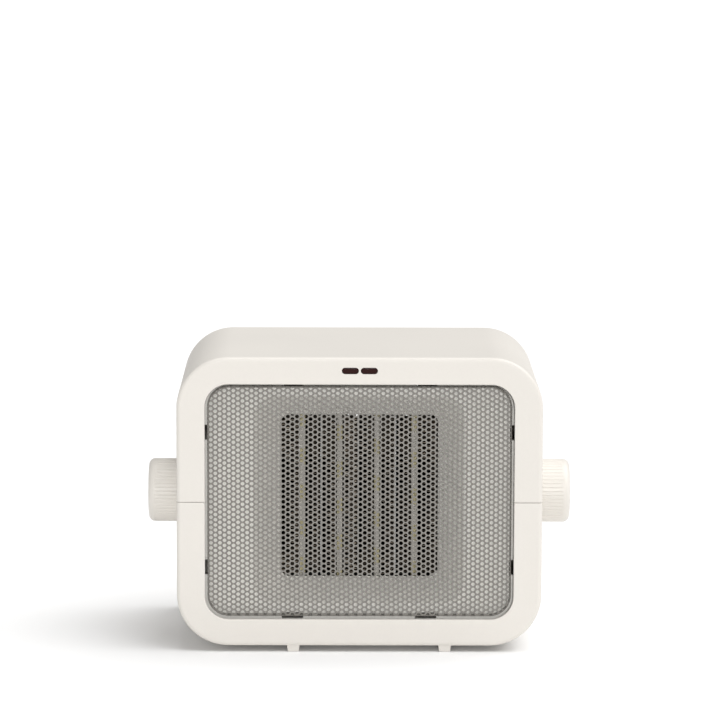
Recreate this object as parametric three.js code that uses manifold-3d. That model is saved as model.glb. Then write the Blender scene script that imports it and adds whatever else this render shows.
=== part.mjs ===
// A compact ceramic space heater: a moulded casing of two halves with a front grille, an air guide that
// frames the heating element, an axial fan behind it, a knob on each side and a tip-over plunger below.
// Millimetres. +X is to the right, the grille faces -Y and +Z is up. The origin is on the floor, midway.
import * as THREE from "three";
import { mergeVertices } from "three/addons/utils/BufferGeometryUtils.js";
import Module from "manifold-3d";

const wasm = await Module();
wasm.setup();

// Casing
const casingWidth = 240;
const casingDepth = 150;
const casingHeight = 192;
const cornerRadius = 34;
const edgeRound = 2.5;
const wall = 2.6;
const frontWall = 3;
const partingGap = 0.3;
const clearance = 0.3;
const ribWall = 2;

// Front ring and feet
const ringSide = 18.5;
const ringTop = 17.8;
const windowCorner = 15.5;
const footHeight = 4;
const footWidth = 8.4;
const footTaper = 0.5;
const footLength = 16;
const footSetBack = 1.2;
const footSpacing = 99.8;
const footShift = 6.5;

// Screws that close the casing
const screwRadius = 1.4;
const screwHeadRadius = 3;
const screwHeadHeight = 2.2;
const postRadius = 5;
const postInset = 32;
const postFront = 25;
const postRear = 30;
const shoulderDrop = 14;
const screwReach = 12;

// Rear cover
const coverRecess = 3.5;
const coverThickness = 2.6;
const coverBossRadius = 6;
const coverBossInset = 5.5;
const coverBossLength = 16;
const slotWidth = 3.4;
const slotLength = 38;
const slotPitch = 8.4;
const slotRowPitch = 44;
const slotColumns = 15;
const slotRows = 3;

// Front grille, a tray of thin perforated sheet with bent tabs
const grilleGap = 1.6;
const grilleRecess = 2.5;
const grilleSheet = 0.8;
const grilleRim = 5.5;
const tabReach = 13;
const tabPlaces = { across: 44, up: 45 };
const tabLength = { across: 12, up: 8 };
const tabSlotSpare = 1;
const tabSlotDepth = { inward: 0.4, outward: 1.2 };

// Air guide, a baffle plate with a funnel down to the element
const baffleDepth = 10;
const baffleThickness = 2;
const baffleOverlap = 4;
const mouthMargin = { side: 33.5, top: 10.2 };
const mouthCorner = 13;
const throatMargin = { side: 68, top: 41.7 };
const throatWidth = casingWidth - 2 * throatMargin.side;
const throatHeight = casingHeight - 2 * throatMargin.top;
const throatCorner = 5.5;
const throatDepth = 27;
const funnelWall = 1.6;
const guideRibPlace = 70;
const guideRibLength = 5;

// Heating element
const elementDepth = 30;
const barCount = 4;
const barSpare = 5.6;
const barPitch = (throatWidth - barSpare) / barCount;
const barShift = -0.7;
const barWidth = 3.6;
const barLength = 15;
const barSeat = 3;
const bladeWidth = 6.3;
const bladeThickness = 0.8;
const bladeReach = 8;
const finPitch = 11;
const finSheet = 0.6;
const finInset = 1;
const stripSheet = 0.8;
const frameHeight = 11;
const frameLip = 1.2;
const frameFront = 27.8;
const frameBack = 47;
const shieldClearance = 0.6;
const shieldSheet = 0.8;
const shieldFront = 27.3;
const shieldBack = 47.5;
const cutout = { radius: 8, height: 6, across: 28, depth: 37 };

// Fan shroud with the motor bridge
const shroudFront = 47.8;
const shroudRound = 62;
const shroudBack = 90;
const shroudWall = 1.8;
const tipGap = 2;
const tongue = { halfWidth: 12, depth: 75, thickness: 4 };
const tongueRib = { halfWidth: 14, thickness: 4, reach: 8 };
const bridgeDepth = 88;
const bridgeThickness = 5;
const bridgeHub = 23;
const strutWidth = 6;
const strutCount = 4;

// Fan and motor, along Y from the front face
const impellerRadius = 56;
const impellerFront = 64;
const impellerLength = 22;
const hubRadius = 18;
const bladeCount = 7;
const bladeSheet = 1.6;
const bladeCamber = 0.07;
const bladeRoot = { chord: 22, pitch: 38 };
const bladeTip = { chord: 34, pitch: 26 };
const shaftRadius = 1.5;
const shaftGap = 0.3;
const bearingRadius = 7.5;
const bracketSheet = 2;
const bracketHalf = { across: 24, up: 6 };
const stator = { half: 25, above: 20, below: 44, bore: 13, length: 17, limb: 11 };
const statorWindow = { half: 14, top: 17 };
const rotorGap = 0.5;
const coilWall = { deep: 6, high: 8 };
const motorScrewPlace = 19.5;
const motorScrewHead = 2.6;

// Knobs with their switch and thermostat
const knobDepth = 48;
const knobRadius = 21;
const knobReach = 20;
const knobGap = 0.5;
const knobWall = 2.2;
const knobRound = 4;
const spindleRadius = 3;
const spindleReach = 14;
const bushRadius = 4.8;
const bushReach = 4.5;
const nutRadius = 7.5;
const nutHeight = 2.6;
const controlDepth = 18;
const switchRadius = 15;
const thermostatHalf = { y: 13, z: 17 };

// Indicator lenses with their lamps
const lensWidth = 10.9;
const lensHeight = 4;
const lensPlace = 6.2;
const lensDrop = 8.7;
const lensFlange = 1.2;
const lensRecess = 0.2;
const lampRadius = 1.6;
const lampLength = 2.2;
const boardHalf = { x: 17, z: 4.6 };
const boardSheet = 1.6;

// Tip-over switch
const tipDepth = casingDepth - 18;
const plungerRadius = 3;
const plungerGap = 0.4;
const plungerFlange = 5;
const plungerTravel = 4;
const springTurns = 6;
const springLength = 16;
const springWire = 0.45;
const springRadius = 4.3;
const housingHalf = { x: 11, y: 8 };
const housingWall = 3;
const microswitch = { halfX: 10, y: 7, z: 10 };

// Mains inlet
const glandPlace = { across: 75, up: 24 };
const glandRadius = 6.1;
const glandFlange = 9;
const glandBore = 3.6;
const glandInside = 7;
const terminalDepth = casingDepth - 32;
const terminalShift = -1;
const terminals = { width: 36, length: 18, height: 14, hole: 2.4, count: 3 };

// Steps along a round edge
const cornerSteps = 5;
const fineSteps = 3;
const largeRound = 32;
const smallRound = 10;

const front = -casingDepth / 2;
const back = casingDepth / 2;
const halfWidth = casingWidth / 2;
const halfHeight = casingHeight / 2;
const innerHalfWidth = halfWidth - wall;
const innerHalfHeight = halfHeight - wall;
const windowHalfWidth = halfWidth - ringSide;
const windowHalfHeight = halfHeight - ringTop;
const floor = -halfHeight - footHeight;

const plastic = { color: 0xe9e4dc, roughness: 0.55, metalness: 0 };
const greyPlastic = { color: 0xcfcbc2, roughness: 0.6, metalness: 0 };
const darkPlastic = { color: 0x2c2a28, roughness: 0.5, metalness: 0 };
const steel = { color: 0xb4b0a8, roughness: 0.35, metalness: 0.9 };
const aluminium = { color: 0xa7a28f, roughness: 0.45, metalness: 0.8 };
const copper = { color: 0x9c5a2e, roughness: 0.35, metalness: 0.9 };
const redLens = { color: 0x4a1614, roughness: 0.15, metalness: 0 };
const boardGreen = { color: 0x8a7a45, roughness: 0.7, metalness: 0 };

// A closed geometry as a solid that can be joined and cut.
function solidOf(geometry) {
  const bare = new THREE.BufferGeometry();
  bare.setAttribute("position", geometry.getAttribute("position"));
  if (geometry.index) bare.setIndex(geometry.index);
  const merged = mergeVertices(bare, 1e-4);
  const corners = merged.index.array;
  const kept = [];
  for (let i = 0; i < corners.length; i += 3) {
    const [a, b, c] = [corners[i], corners[i + 1], corners[i + 2]];
    if (a !== b && b !== c && c !== a) kept.push(a, b, c);
  }
  const vertProperties = merged.getAttribute("position").array;
  const mesh = new wasm.Mesh({ numProp: 3, vertProperties, triVerts: new Uint32Array(kept) });
  return new wasm.Manifold(mesh);
}

function join(...solids) {
  return solids.reduce((whole, next) => whole.add(next));
}

function cut(solid, ...tools) {
  return tools.reduce((whole, tool) => whole.subtract(tool), solid);
}

function block(x0, x1, y0, y1, z0, z1) {
  const geometry = new THREE.BoxGeometry(x1 - x0, y1 - y0, z1 - z0);
  geometry.translate((x0 + x1) / 2, (y0 + y1) / 2, (z0 + z1) / 2);
  return solidOf(geometry);
}

function roundedRect(width, height, radius) {
  const [x, y] = [width / 2 - radius, height / 2 - radius];
  const shape = new THREE.Shape();
  shape.absarc(x, y, radius, 0, Math.PI / 2);
  shape.absarc(-x, y, radius, Math.PI / 2, Math.PI);
  shape.absarc(-x, -y, radius, Math.PI, Math.PI * 1.5);
  shape.absarc(x, -y, radius, Math.PI * 1.5, Math.PI * 2);
  shape.closePath();
  return shape;
}

function polygon(points) {
  return new THREE.Shape(points.map(([x, y]) => new THREE.Vector2(x, y)));
}

// A shape in X and Z, pushed along Y from y0 to y1. Its edges can be rounded at both ends.
function prismY(shape, y0, y1, round = 0, steps = cornerSteps) {
  const geometry = new THREE.ExtrudeGeometry(shape, {
    depth: y1 - y0 - 2 * round,
    bevelEnabled: round > 0,
    bevelThickness: round,
    bevelSize: round,
    bevelSegments: 3,
    curveSegments: steps,
  });
  geometry.rotateX(Math.PI / 2);
  geometry.translate(0, y1 - round, 0);
  return solidOf(geometry);
}

// A shape in X and Y, pushed along Z from z0 to z1.
function prismZ(shape, z0, z1, steps = cornerSteps) {
  const options = { depth: z1 - z0, bevelEnabled: false, curveSegments: steps };
  const geometry = new THREE.ExtrudeGeometry(shape, options);
  geometry.translate(0, 0, z0);
  return solidOf(geometry);
}

// A profile of [radius, height] points turned about an axis. It starts and ends on the axis, or is closed.
function turned(profile, axis, steps = smallRound) {
  const points = profile.map(([radius, height]) => new THREE.Vector2(radius, height));
  const geometry = new THREE.LatheGeometry(points, steps);
  if (axis === "x") geometry.rotateZ(-Math.PI / 2);
  if (axis === "z") geometry.rotateX(Math.PI / 2);
  return solidOf(geometry);
}

function rod(radius, from, to, axis, steps = smallRound) {
  return turned([[0, from], [radius, from], [radius, to], [0, to]], axis, steps);
}

function tube(outer, inner, from, to, axis, steps = smallRound) {
  const profile = [[inner, from], [outer, from], [outer, to], [inner, to], [inner, from]];
  return turned(profile, axis, steps);
}

// The outline of a rounded rectangle as points, at its corners or evenly spaced.
function outlineOf(halfX, halfZ, radius) {
  return roundedRect(2 * halfX, 2 * halfZ, radius).getPoints(cornerSteps).slice(0, -1);
}

function evenOutline(halfX, halfZ, radius) {
  return roundedRect(2 * halfX, 2 * halfZ, radius).getSpacedPoints(largeRound).slice(0, -1);
}

// The circle with a point on the same ray as each point of an outline.
function circleLike(outline, radius) {
  return outline.map((point) => point.clone().setLength(radius));
}

// A skin through rings of points at rising Y. Each ring has the same number of points in X and Z.
function loftY(rings) {
  const count = rings[0].points.length;
  const vertices = rings.flatMap(({ y, points }) => points.flatMap((point) => [point.x, y, point.y]));
  const index = [];
  for (let ring = 0; ring < rings.length - 1; ring += 1) {
    for (let i = 0; i < count; i += 1) {
      const [a, b] = [ring * count + i, ring * count + ((i + 1) % count)];
      index.push(a, b + count, b, a, a + count, b + count);
    }
  }
  const last = (rings.length - 1) * count;
  for (const [a, b, c] of THREE.ShapeUtils.triangulateShape(rings[0].points, [])) index.push(a, b, c);
  for (const [a, b, c] of THREE.ShapeUtils.triangulateShape(rings.at(-1).points, [])) {
    index.push(last + a, last + c, last + b);
  }
  const geometry = new THREE.BufferGeometry();
  geometry.setAttribute("position", new THREE.Float32BufferAttribute(vertices, 3));
  geometry.setIndex(index);
  return solidOf(geometry);
}

// One named sub-part: its solid becomes a mesh with flat faces and a material of its own.
function addPart(group, name, solid, finish) {
  const { vertProperties, triVerts } = solid.getMesh();
  const geometry = new THREE.BufferGeometry();
  geometry.setAttribute("position", new THREE.BufferAttribute(vertProperties, 3));
  geometry.setIndex(new THREE.BufferAttribute(triVerts, 1));
  const faceted = geometry.toNonIndexed();
  faceted.computeVertexNormals();
  const mesh = new THREE.Mesh(faceted, new THREE.MeshStandardMaterial(finish));
  mesh.name = name;
  group.add(mesh);
  return mesh;
}

// Everything inside is placed from the middle of the casing's height, where the fan's axis is too.
const heater = new THREE.Group();
const machine = new THREE.Group();
machine.position.z = halfHeight + footHeight;
heater.add(machine);

// Casing: a rounded box with a window in front, open behind, parted at mid height
const postPlaces = [-1, 1].flatMap((side) => [
  [side * (halfWidth - postInset), front + postFront],
  [side * (halfWidth - postInset), back - postRear],
]);
const bossDiagonal = (cornerRadius - wall - coverBossInset) / Math.SQRT2;
const bossX = halfWidth - cornerRadius + bossDiagonal;
const bossZ = halfHeight - cornerRadius + bossDiagonal;
const coverInner = back - coverRecess - coverThickness;
const coverOuter = back - coverRecess;
const knobY = front + knobDepth;
const tipY = front + tipDepth;
const lensZ = halfHeight - lensDrop;
const screwHole = screwRadius + clearance;

function casingBlank() {
  const round = 2 * edgeRound;
  const outline = roundedRect(casingWidth - round, casingHeight - round, cornerRadius - edgeRound);
  return prismY(outline, front, back, edgeRound);
}

function casingSkin(blank) {
  const cavity = roundedRect(2 * innerHalfWidth, 2 * innerHalfHeight, cornerRadius - wall);
  const opening = roundedRect(2 * windowHalfWidth, 2 * windowHalfHeight, windowCorner);
  const bushHole = rod(bushRadius + clearance, -casingWidth, casingWidth, "x", 2 * smallRound);
  return cut(
    blank,
    prismY(cavity, front + frontWall, back + 1),
    prismY(opening, front - 1, front + frontWall + 1),
    bushHole.translate([0, knobY, 0]),
  );
}

// Ribs and bosses of the upper half: posts for the casing screws, bosses for the cover screws, and pairs of
// ribs that hold the air guide and the fan shroud's tongue. The lower half has the same, mirrored.
function casingRibs() {
  const post = rod(postRadius, partingGap / 2, halfHeight - 1, "z");
  const posts = postPlaces.map(([x, y]) => post.translate([x, y, 0]));
  const ribs = [];
  for (const side of [-1, 1]) {
    const bossEnd = coverInner - clearance;
    const boss = rod(coverBossRadius, bossEnd - coverBossLength, bossEnd, "y");
    ribs.push(boss.translate([side * bossX, 0, bossZ]));
    const [x0, x1] = [side * guideRibPlace - ribWall / 2, side * guideRibPlace + ribWall / 2];
    const guideFront = front + baffleDepth - clearance;
    const guideBack = front + baffleDepth + baffleThickness + clearance;
    const [z0, z1] = [windowHalfHeight + 1, halfHeight - 1];
    ribs.push(block(x0, x1, front + 1, guideFront, z0, z1));
    ribs.push(block(x0, x1, guideBack, guideBack + guideRibLength, z0, z1));
    const ribNear = front + tongue.depth + side * (tongue.thickness / 2 + clearance);
    const [y0, y1] = [ribNear, ribNear + side * tongueRib.thickness].sort((a, b) => a - b);
    const low = innerHalfHeight - tongueRib.reach;
    ribs.push(block(-tongueRib.halfWidth, tongueRib.halfWidth, y0, y1, low, halfHeight - 1));
  }
  return join(...posts, ...ribs);
}

function coverScrewHole(x, z) {
  return rod(screwHole, coverInner - clearance - screwReach, back, "y").translate([x, 0, z]);
}

function upperShell(skin, blank, ribs) {
  const half = block(-casingWidth, casingWidth, -casingDepth, casingDepth, partingGap / 2, casingHeight);
  const bore = rod(screwHole, -1, screwReach + 1, "z");
  const screwHoles = postPlaces.map(([x, y]) => bore.translate([x, y, 0]));
  const lensHoles = [-1, 1].map((side) => {
    const [width, height] = [lensWidth + 2 * clearance, lensHeight + 2 * clearance];
    const outline = roundedRect(width, height, height / 2 - 0.01);
    const hole = prismY(outline, front - 1, front + frontWall + 1, 0, fineSteps);
    return hole.translate([side * lensPlace, 0, lensZ]);
  });
  const coverHoles = [-1, 1].map((side) => coverScrewHole(side * bossX, bossZ));
  return cut(join(skin, ribs.intersect(blank)).intersect(half), ...screwHoles, ...lensHoles, ...coverHoles);
}

function foot(x, y) {
  const [low, high] = [floor, -halfHeight + wall / 2];
  const narrow = footWidth / 2 - footTaper;
  const outline = polygon([[-narrow, low], [narrow, low], [footWidth / 2, high], [-footWidth / 2, high]]);
  return prismY(outline, y, y + footLength).translate([x, 0, 0]);
}

function lowerShell(skin, blank, ribs) {
  const half = block(-casingWidth, casingWidth, -casingDepth, casingDepth, -casingHeight, -partingGap / 2);
  const shoulder = -shoulderDrop;
  const screwHoles = postPlaces.flatMap(([x, y]) => [
    rod(screwHole, shoulder - 1, 1, "z").translate([x, y, 0]),
    rod(screwHeadRadius + clearance, -halfHeight - 1, shoulder, "z").translate([x, y, 0]),
  ]);
  const coverHoles = [-1, 1].map((side) => coverScrewHole(side * bossX, -bossZ));
  const plungerHole = rod(plungerRadius + plungerGap, -halfHeight - 1, -halfHeight + wall + 1, "z");
  const shell = join(skin, ribs.mirror([0, 0, 1]).intersect(blank)).intersect(half);
  const feet = [-1, 1].flatMap((side) => [
    foot(footShift + (side * footSpacing) / 2, front + footSetBack),
    foot(footShift + (side * footSpacing) / 2, back - footSetBack - footLength),
  ]);
  return cut(join(shell, ...feet), ...screwHoles, ...coverHoles, plungerHole.translate([0, tipY, 0]));
}

const blank = casingBlank();
const skin = casingSkin(blank);
const ribs = casingRibs();
addPart(machine, "upper_shell", upperShell(skin, blank, ribs), plastic);
addPart(machine, "lower_shell", lowerShell(skin, blank, ribs), plastic);

// Casing screws, driven from below, with their heads deep in the posts
function screw(headRadius, length, axis) {
  const profile = [
    [0, -length],
    [screwRadius, -length],
    [screwRadius, 0],
    [headRadius, 0],
    [headRadius, screwHeadHeight],
    [0, screwHeadHeight],
  ];
  return turned(profile, axis);
}

postPlaces.forEach(([x, y], place) => {
  const length = shoulderDrop + screwReach - clearance;
  const casingScrew = screw(screwHeadRadius, length, "z").rotate([180, 0, 0]);
  const seat = -shoulderDrop - clearance;
  addPart(machine, `shell_screw_${place + 1}`, casingScrew, steel).position.set(x, y, seat);
});

// Rear cover: a panel inside the casing's rim, with slots where the fan draws air
const glandX = glandPlace.across;
const glandZ = glandPlace.up - halfHeight;

function rearCover() {
  const [width, height] = [innerHalfWidth - clearance, innerHalfHeight - clearance];
  const outline = roundedRect(2 * width, 2 * height, cornerRadius - wall - clearance);
  const slots = [];
  for (let column = 0; column < slotColumns; column += 1) {
    for (let row = 0; row < slotRows; row += 1) {
      const x = (column - (slotColumns - 1) / 2) * slotPitch;
      const z = (row - (slotRows - 1) / 2) * slotRowPitch;
      const [x0, x1] = [x - slotWidth / 2, x + slotWidth / 2];
      slots.push(block(x0, x1, coverInner - 1, coverOuter + 1, z - slotLength / 2, z + slotLength / 2));
    }
  }
  const screwHoles = [-1, 1].flatMap((side) => [
    coverScrewHole(side * bossX, bossZ),
    coverScrewHole(side * bossX, -bossZ),
  ]);
  const glandHole = rod(glandRadius + clearance, coverInner - 1, coverOuter + 1, "y", 2 * smallRound);
  return cut(
    prismY(outline, coverInner, coverOuter),
    join(...slots),
    ...screwHoles,
    glandHole.translate([glandX, 0, glandZ]),
  );
}

addPart(machine, "rear_cover", rearCover(), plastic);

[[-1, 1], [1, 1], [-1, -1], [1, -1]].forEach(([x, z], place) => {
  const coverScrew = screw(screwHeadRadius, coverThickness + screwReach - 1, "y");
  const mesh = addPart(machine, `cover_screw_${place + 1}`, coverScrew, steel);
  mesh.position.set(x * bossX, coverOuter + clearance, z * bossZ);
});

// Front grille: the sheet's face, its rim bent back, and four tabs that pass through the air guide
const grilleHalfWidth = windowHalfWidth - grilleGap;
const grilleHalfHeight = windowHalfHeight - grilleGap;
const grilleFront = front + grilleRecess;

// Two distances from the middle, on one side of it, in rising order.
function spanOf(side, near, far) {
  return side > 0 ? [near, far] : [-far, -near];
}

function tabSolids(sheet, spare, inward, outward, y0, y1) {
  const tabs = [];
  for (const side of [-1, 1]) {
    for (const place of [-1, 1]) {
      const across = [place * tabPlaces.across, tabLength.across / 2 + spare];
      const up = [place * tabPlaces.up, tabLength.up / 2 + spare];
      const [x0, x1] = spanOf(side, grilleHalfWidth - sheet - inward, grilleHalfWidth + outward);
      const [z0, z1] = spanOf(side, grilleHalfHeight - sheet - inward, grilleHalfHeight + outward);
      tabs.push(block(across[0] - across[1], across[0] + across[1], y0, y1, z0, z1));
      tabs.push(block(x0, x1, y0, y1, up[0] - up[1], up[0] + up[1]));
    }
  }
  return tabs;
}

function frontGrille() {
  const rimBack = grilleFront + grilleRim;
  const radius = windowCorner - grilleGap;
  const outer = roundedRect(2 * grilleHalfWidth, 2 * grilleHalfHeight, radius);
  const inner = roundedRect(
    2 * (grilleHalfWidth - grilleSheet),
    2 * (grilleHalfHeight - grilleSheet),
    radius - grilleSheet,
  );
  const hollow = prismY(inner, grilleFront + grilleSheet, rimBack + 1);
  const tray = cut(prismY(outer, grilleFront, rimBack), hollow);
  return join(tray, ...tabSolids(grilleSheet, 0, 0, 0, rimBack - 1, front + tabReach));
}

addPart(machine, "front_grille", frontGrille(), steel);

// Air guide: a baffle behind the grille that narrows to the element's throat
function airGuide() {
  const baffleFront = front + baffleDepth;
  const baffleBack = baffleFront + baffleThickness;
  const throatEnd = front + throatDepth;
  const plate = roundedRect(
    2 * (windowHalfWidth + baffleOverlap),
    2 * (windowHalfHeight + baffleOverlap),
    windowCorner + baffleOverlap,
  );
  const mouth = [windowHalfWidth - mouthMargin.side, windowHalfHeight - mouthMargin.top];
  const throat = [throatWidth / 2, throatHeight / 2];
  const skinOf = (grow, start, end) => loftY([
    { y: start, points: outlineOf(mouth[0] + grow, mouth[1] + grow, mouthCorner + grow) },
    { y: end, points: outlineOf(throat[0] + grow, throat[1] + grow, throatCorner + grow) },
  ]);
  const slots = tabSolids(
    grilleSheet,
    tabSlotSpare,
    tabSlotDepth.inward,
    grilleGap + tabSlotDepth.outward,
    baffleFront - 1,
    baffleBack + 1,
  );
  const funnel = skinOf(funnelWall, baffleFront, throatEnd);
  const collar = outlineOf(throat[0], throat[1], throatCorner);
  const mouthHole = outlineOf(mouth[0], mouth[1], mouthCorner);
  const air = join(
    skinOf(0, baffleFront, throatEnd),
    loftY([{ y: baffleFront - 1, points: mouthHole }, { y: baffleFront + 0.01, points: mouthHole }]),
    loftY([{ y: throatEnd - 0.01, points: collar }, { y: throatEnd + 1, points: collar }]),
  );
  return cut(join(prismY(plate, baffleFront, baffleBack), funnel), air, ...slots);
}

addPart(machine, "air_guide", airGuide(), greyPlastic);

// Heating element: upright bars with ceramic stones, corrugated fins between them, a frame above and below
const barFront = front + elementDepth;
const barBack = barFront + barLength;
const throatHalf = throatHeight / 2;
const barPlaces = Array.from({ length: barCount }, (_, i) => {
  return (i - (barCount - 1) / 2) * barPitch + barShift;
});
const bladeY = (barFront + barBack) / 2;

function heatingBar() {
  const outline = polygon([
    [-barWidth / 2, barFront],
    [barWidth / 2, barFront],
    [barWidth / 2, barBack],
    [-barWidth / 2, barBack],
  ]);
  const reach = throatHalf + barSeat;
  const [x, y] = [bladeThickness / 2, bladeWidth / 2];
  const low = -(throatHalf + frameHeight + bladeReach);
  const blade = block(-x, x, bladeY - y, bladeY + y, low, -reach + 1);
  return join(prismZ(outline, -reach, reach), blade);
}

function elementFrame(isBottom) {
  const half = throatWidth / 2 + frameLip;
  const pockets = barPlaces.flatMap((x) => {
    const [w, gap] = [barWidth / 2 + clearance, clearance];
    const seat = throatHalf + barSeat + gap;
    const pocket = block(x - w, x + w, barFront - gap, barBack + gap, throatHalf - 1, seat);
    const [bx, by] = [bladeThickness / 2 + gap, bladeWidth / 2 + gap];
    const [z0, z1] = [throatHalf - 1, throatHalf + frameHeight + 1];
    const slot = block(x - bx, x + bx, bladeY - by, bladeY + by, z0, z1);
    return isBottom ? [pocket, slot] : [pocket];
  });
  const low = throatHalf + clearance;
  const bar = block(-half, half, front + frameFront, front + frameBack, low, throatHalf + frameHeight);
  const frame = cut(bar, ...pockets);
  return isBottom ? frame.mirror([0, 0, 1]) : frame;
}

// One corrugated band from x0 to x1, folded up the height of the throat. Its two sides are the same zigzag,
// shifted sideways until the sheet between them has its thickness.
function corrugation(x0, x1) {
  const half = throatHalf - clearance;
  const folds = 2 * Math.round((2 * half) / finPitch);
  const step = (2 * half) / folds;
  const slope = (x1 - x0) / step;
  const shift = (finSheet * slope) / (1 + finSheet / step) / 2;
  const line = Array.from({ length: folds + 1 }, (_, i) => {
    return [i % 2 ? x1 - shift : x0 + shift, -half + i * step];
  });
  const rightSide = line.map(([x, z]) => [x + shift, z]);
  const leftSide = line.map(([x, z]) => [x - shift, z]);
  return prismY(polygon([...rightSide, ...leftSide.reverse()]), barFront + finInset, barBack - finInset);
}

function finPack(x0, x1, isDouble) {
  if (!isDouble) return corrugation(x0, x1);
  const middle = (x0 + x1) / 2;
  const [thin, half] = [stripSheet / 2, throatHalf - clearance];
  const strip = block(middle - thin, middle + thin, barFront + finInset, barBack - finInset, -half, half);
  return join(corrugation(x0, middle - thin / 2), strip, corrugation(middle + thin / 2, x1));
}

barPlaces.forEach((x, i) => {
  addPart(machine, `ptc_bar_${i + 1}`, heatingBar(), aluminium).position.x = x;
});
const finEdges = [-throatWidth / 2 - frameLip, ...barPlaces, throatWidth / 2 + frameLip];
for (let i = 0; i <= barCount; i += 1) {
  const isOuter = i === 0 || i === barCount;
  const x0 = finEdges[i] + (i === 0 ? 0 : barWidth / 2 + clearance);
  const x1 = finEdges[i + 1] - (i === barCount ? 0 : barWidth / 2 + clearance);
  addPart(machine, `fin_pack_${i + 1}`, finPack(x0, x1, !isOuter), aluminium);
}
addPart(machine, "element_frame_top", elementFrame(false), darkPlastic);
addPart(machine, "element_frame_bottom", elementFrame(true), darkPlastic);

// Heat shield: a steel sleeve round the element, with the thermal cut-out on top of it
const shieldHalfWidth = throatWidth / 2 + frameLip + shieldClearance;
const shieldHalfHeight = throatHalf + frameHeight + shieldClearance;

function heatShield() {
  const [w, h, s] = [shieldHalfWidth, shieldHalfHeight, shieldSheet];
  const [y0, y1] = [front + shieldFront, front + shieldBack];
  const window = barPlaces.map((x) => {
    const [bx, by] = [bladeThickness / 2 + 1, bladeWidth / 2 + 1];
    return block(x - bx, x + bx, bladeY - by, bladeY + by, -h - s - 1, -h + 1);
  });
  return cut(block(-w - s, w + s, y0, y1, -h - s, h + s), block(-w, w, y0 - 1, y1 + 1, -h, h), ...window);
}

function thermalCutout() {
  const { radius, height } = cutout;
  const profile = [[0, 0], [radius, 0], [radius, height], [radius - 2, height + 1], [0, height + 1]];
  const can = turned(profile, "z", largeRound / 2);
  const blades = [-1, 1].map((side) => {
    const x = (side * radius) / 2;
    return block(x - 3, x + 3, -bladeThickness / 2, bladeThickness / 2, height, height + bladeReach);
  });
  return join(can, ...blades);
}

addPart(machine, "heat_shield", heatShield(), steel);
const cutoutSeat = shieldHalfHeight + shieldSheet + clearance;
addPart(machine, "thermal_cutout", thermalCutout(), darkPlastic).position.set(
  cutout.across,
  front + cutout.depth,
  cutoutSeat,
);

// Fan shroud: a duct from the shield's rectangle to the fan's circle, with a bridge that carries the motor
const shroudBore = impellerRadius + tipGap;

function fanShroud() {
  const rings = (grow, y0, y1, y2) => {
    const outline = evenOutline(shieldHalfWidth + grow, shieldHalfHeight + grow, throatCorner + grow);
    return [
      { y: y0, points: outline },
      { y: y1, points: circleLike(outline, shroudBore + grow) },
      { y: y2, points: circleLike(outline, shroudBore + grow) },
    ];
  };
  const [y0, y1, y2] = [front + shroudFront, front + shroudRound, front + shroudBack];
  const duct = cut(loftY(rings(shroudWall, y0, y1, y2)), loftY(rings(0, y0 - 0.01, y1, y2 + 1)));
  const bridgeY = front + bridgeDepth;
  const hub = rod(bridgeHub, bridgeY, bridgeY + bridgeThickness, "y", largeRound);
  const struts = Array.from({ length: strutCount }, (_, i) => {
    const reach = shroudBore + shroudWall / 2;
    const [y0, y1] = [bridgeY, bridgeY + bridgeThickness];
    const strut = block(bridgeHub / 2, reach, y0, y1, -strutWidth / 2, strutWidth / 2);
    return strut.rotate([0, 45 + (i * 360) / strutCount, 0]);
  });
  const tongueY = front + tongue.depth;
  const [y3, y4] = [tongueY - tongue.thickness / 2, tongueY + tongue.thickness / 2];
  const [low, high] = [shroudBore + shroudWall / 2, innerHalfHeight - clearance];
  const tongues = [-1, 1].map((side) => {
    const [z0, z1] = [side * low, side * high].sort((a, b) => a - b);
    const plate = block(-tongue.halfWidth, tongue.halfWidth, y3, y4, z0, z1);
    return plate;
  });
  const [holeFront, holeBack] = [bridgeY - 1, bridgeY + bridgeThickness + 1];
  const bearingHole = rod(bearingRadius + 1, holeFront, holeBack, "y", largeRound / 2);
  const screwHoles = [-1, 1].map((side) =>
    rod(screwHole, holeFront, holeBack, "y").translate([side * motorScrewPlace, 0, 0]));
  return cut(join(duct, hub, ...struts, ...tongues), bearingHole, ...screwHoles);
}

addPart(machine, "fan_shroud", fanShroud(), greyPlastic);

// Motor: a laminated frame with a coil round its lower limb, between two bearing brackets
const bracketFront = front + bridgeDepth + bridgeThickness + clearance;
const statorFront = bracketFront + bracketSheet + clearance;
const statorBack = statorFront + stator.length;
const motorScrewHoles = (y0, y1) =>
  [-1, 1].map((side) => rod(screwHole, y0, y1, "y").translate([side * motorScrewPlace, 0, 0]));

function bearingBracket(reach) {
  const { across, up } = bracketHalf;
  const plate = block(-across, across, 0, bracketSheet, -up, up);
  const cup = rod(bearingRadius, -reach, bracketSheet / 2, "y", largeRound / 2);
  const bore = rod(shaftRadius + shaftGap, -reach - 1, bracketSheet + 1, "y");
  return cut(join(plate, cup), bore, ...motorScrewHoles(-1, bracketSheet + 1));
}

function motorStator() {
  const { half, above, below, bore, length, limb } = stator;
  const outline = polygon([[-half, -below], [half, -below], [half, above], [-half, above]]);
  const space = [-statorWindow.half, statorWindow.half, -1, length + 1, -below + limb, -statorWindow.top];
  return cut(
    prismY(outline, 0, length),
    rod(bore, -1, length + 1, "y", largeRound),
    block(...space),
    ...motorScrewHoles(-1, length + 1),
  );
}

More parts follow.
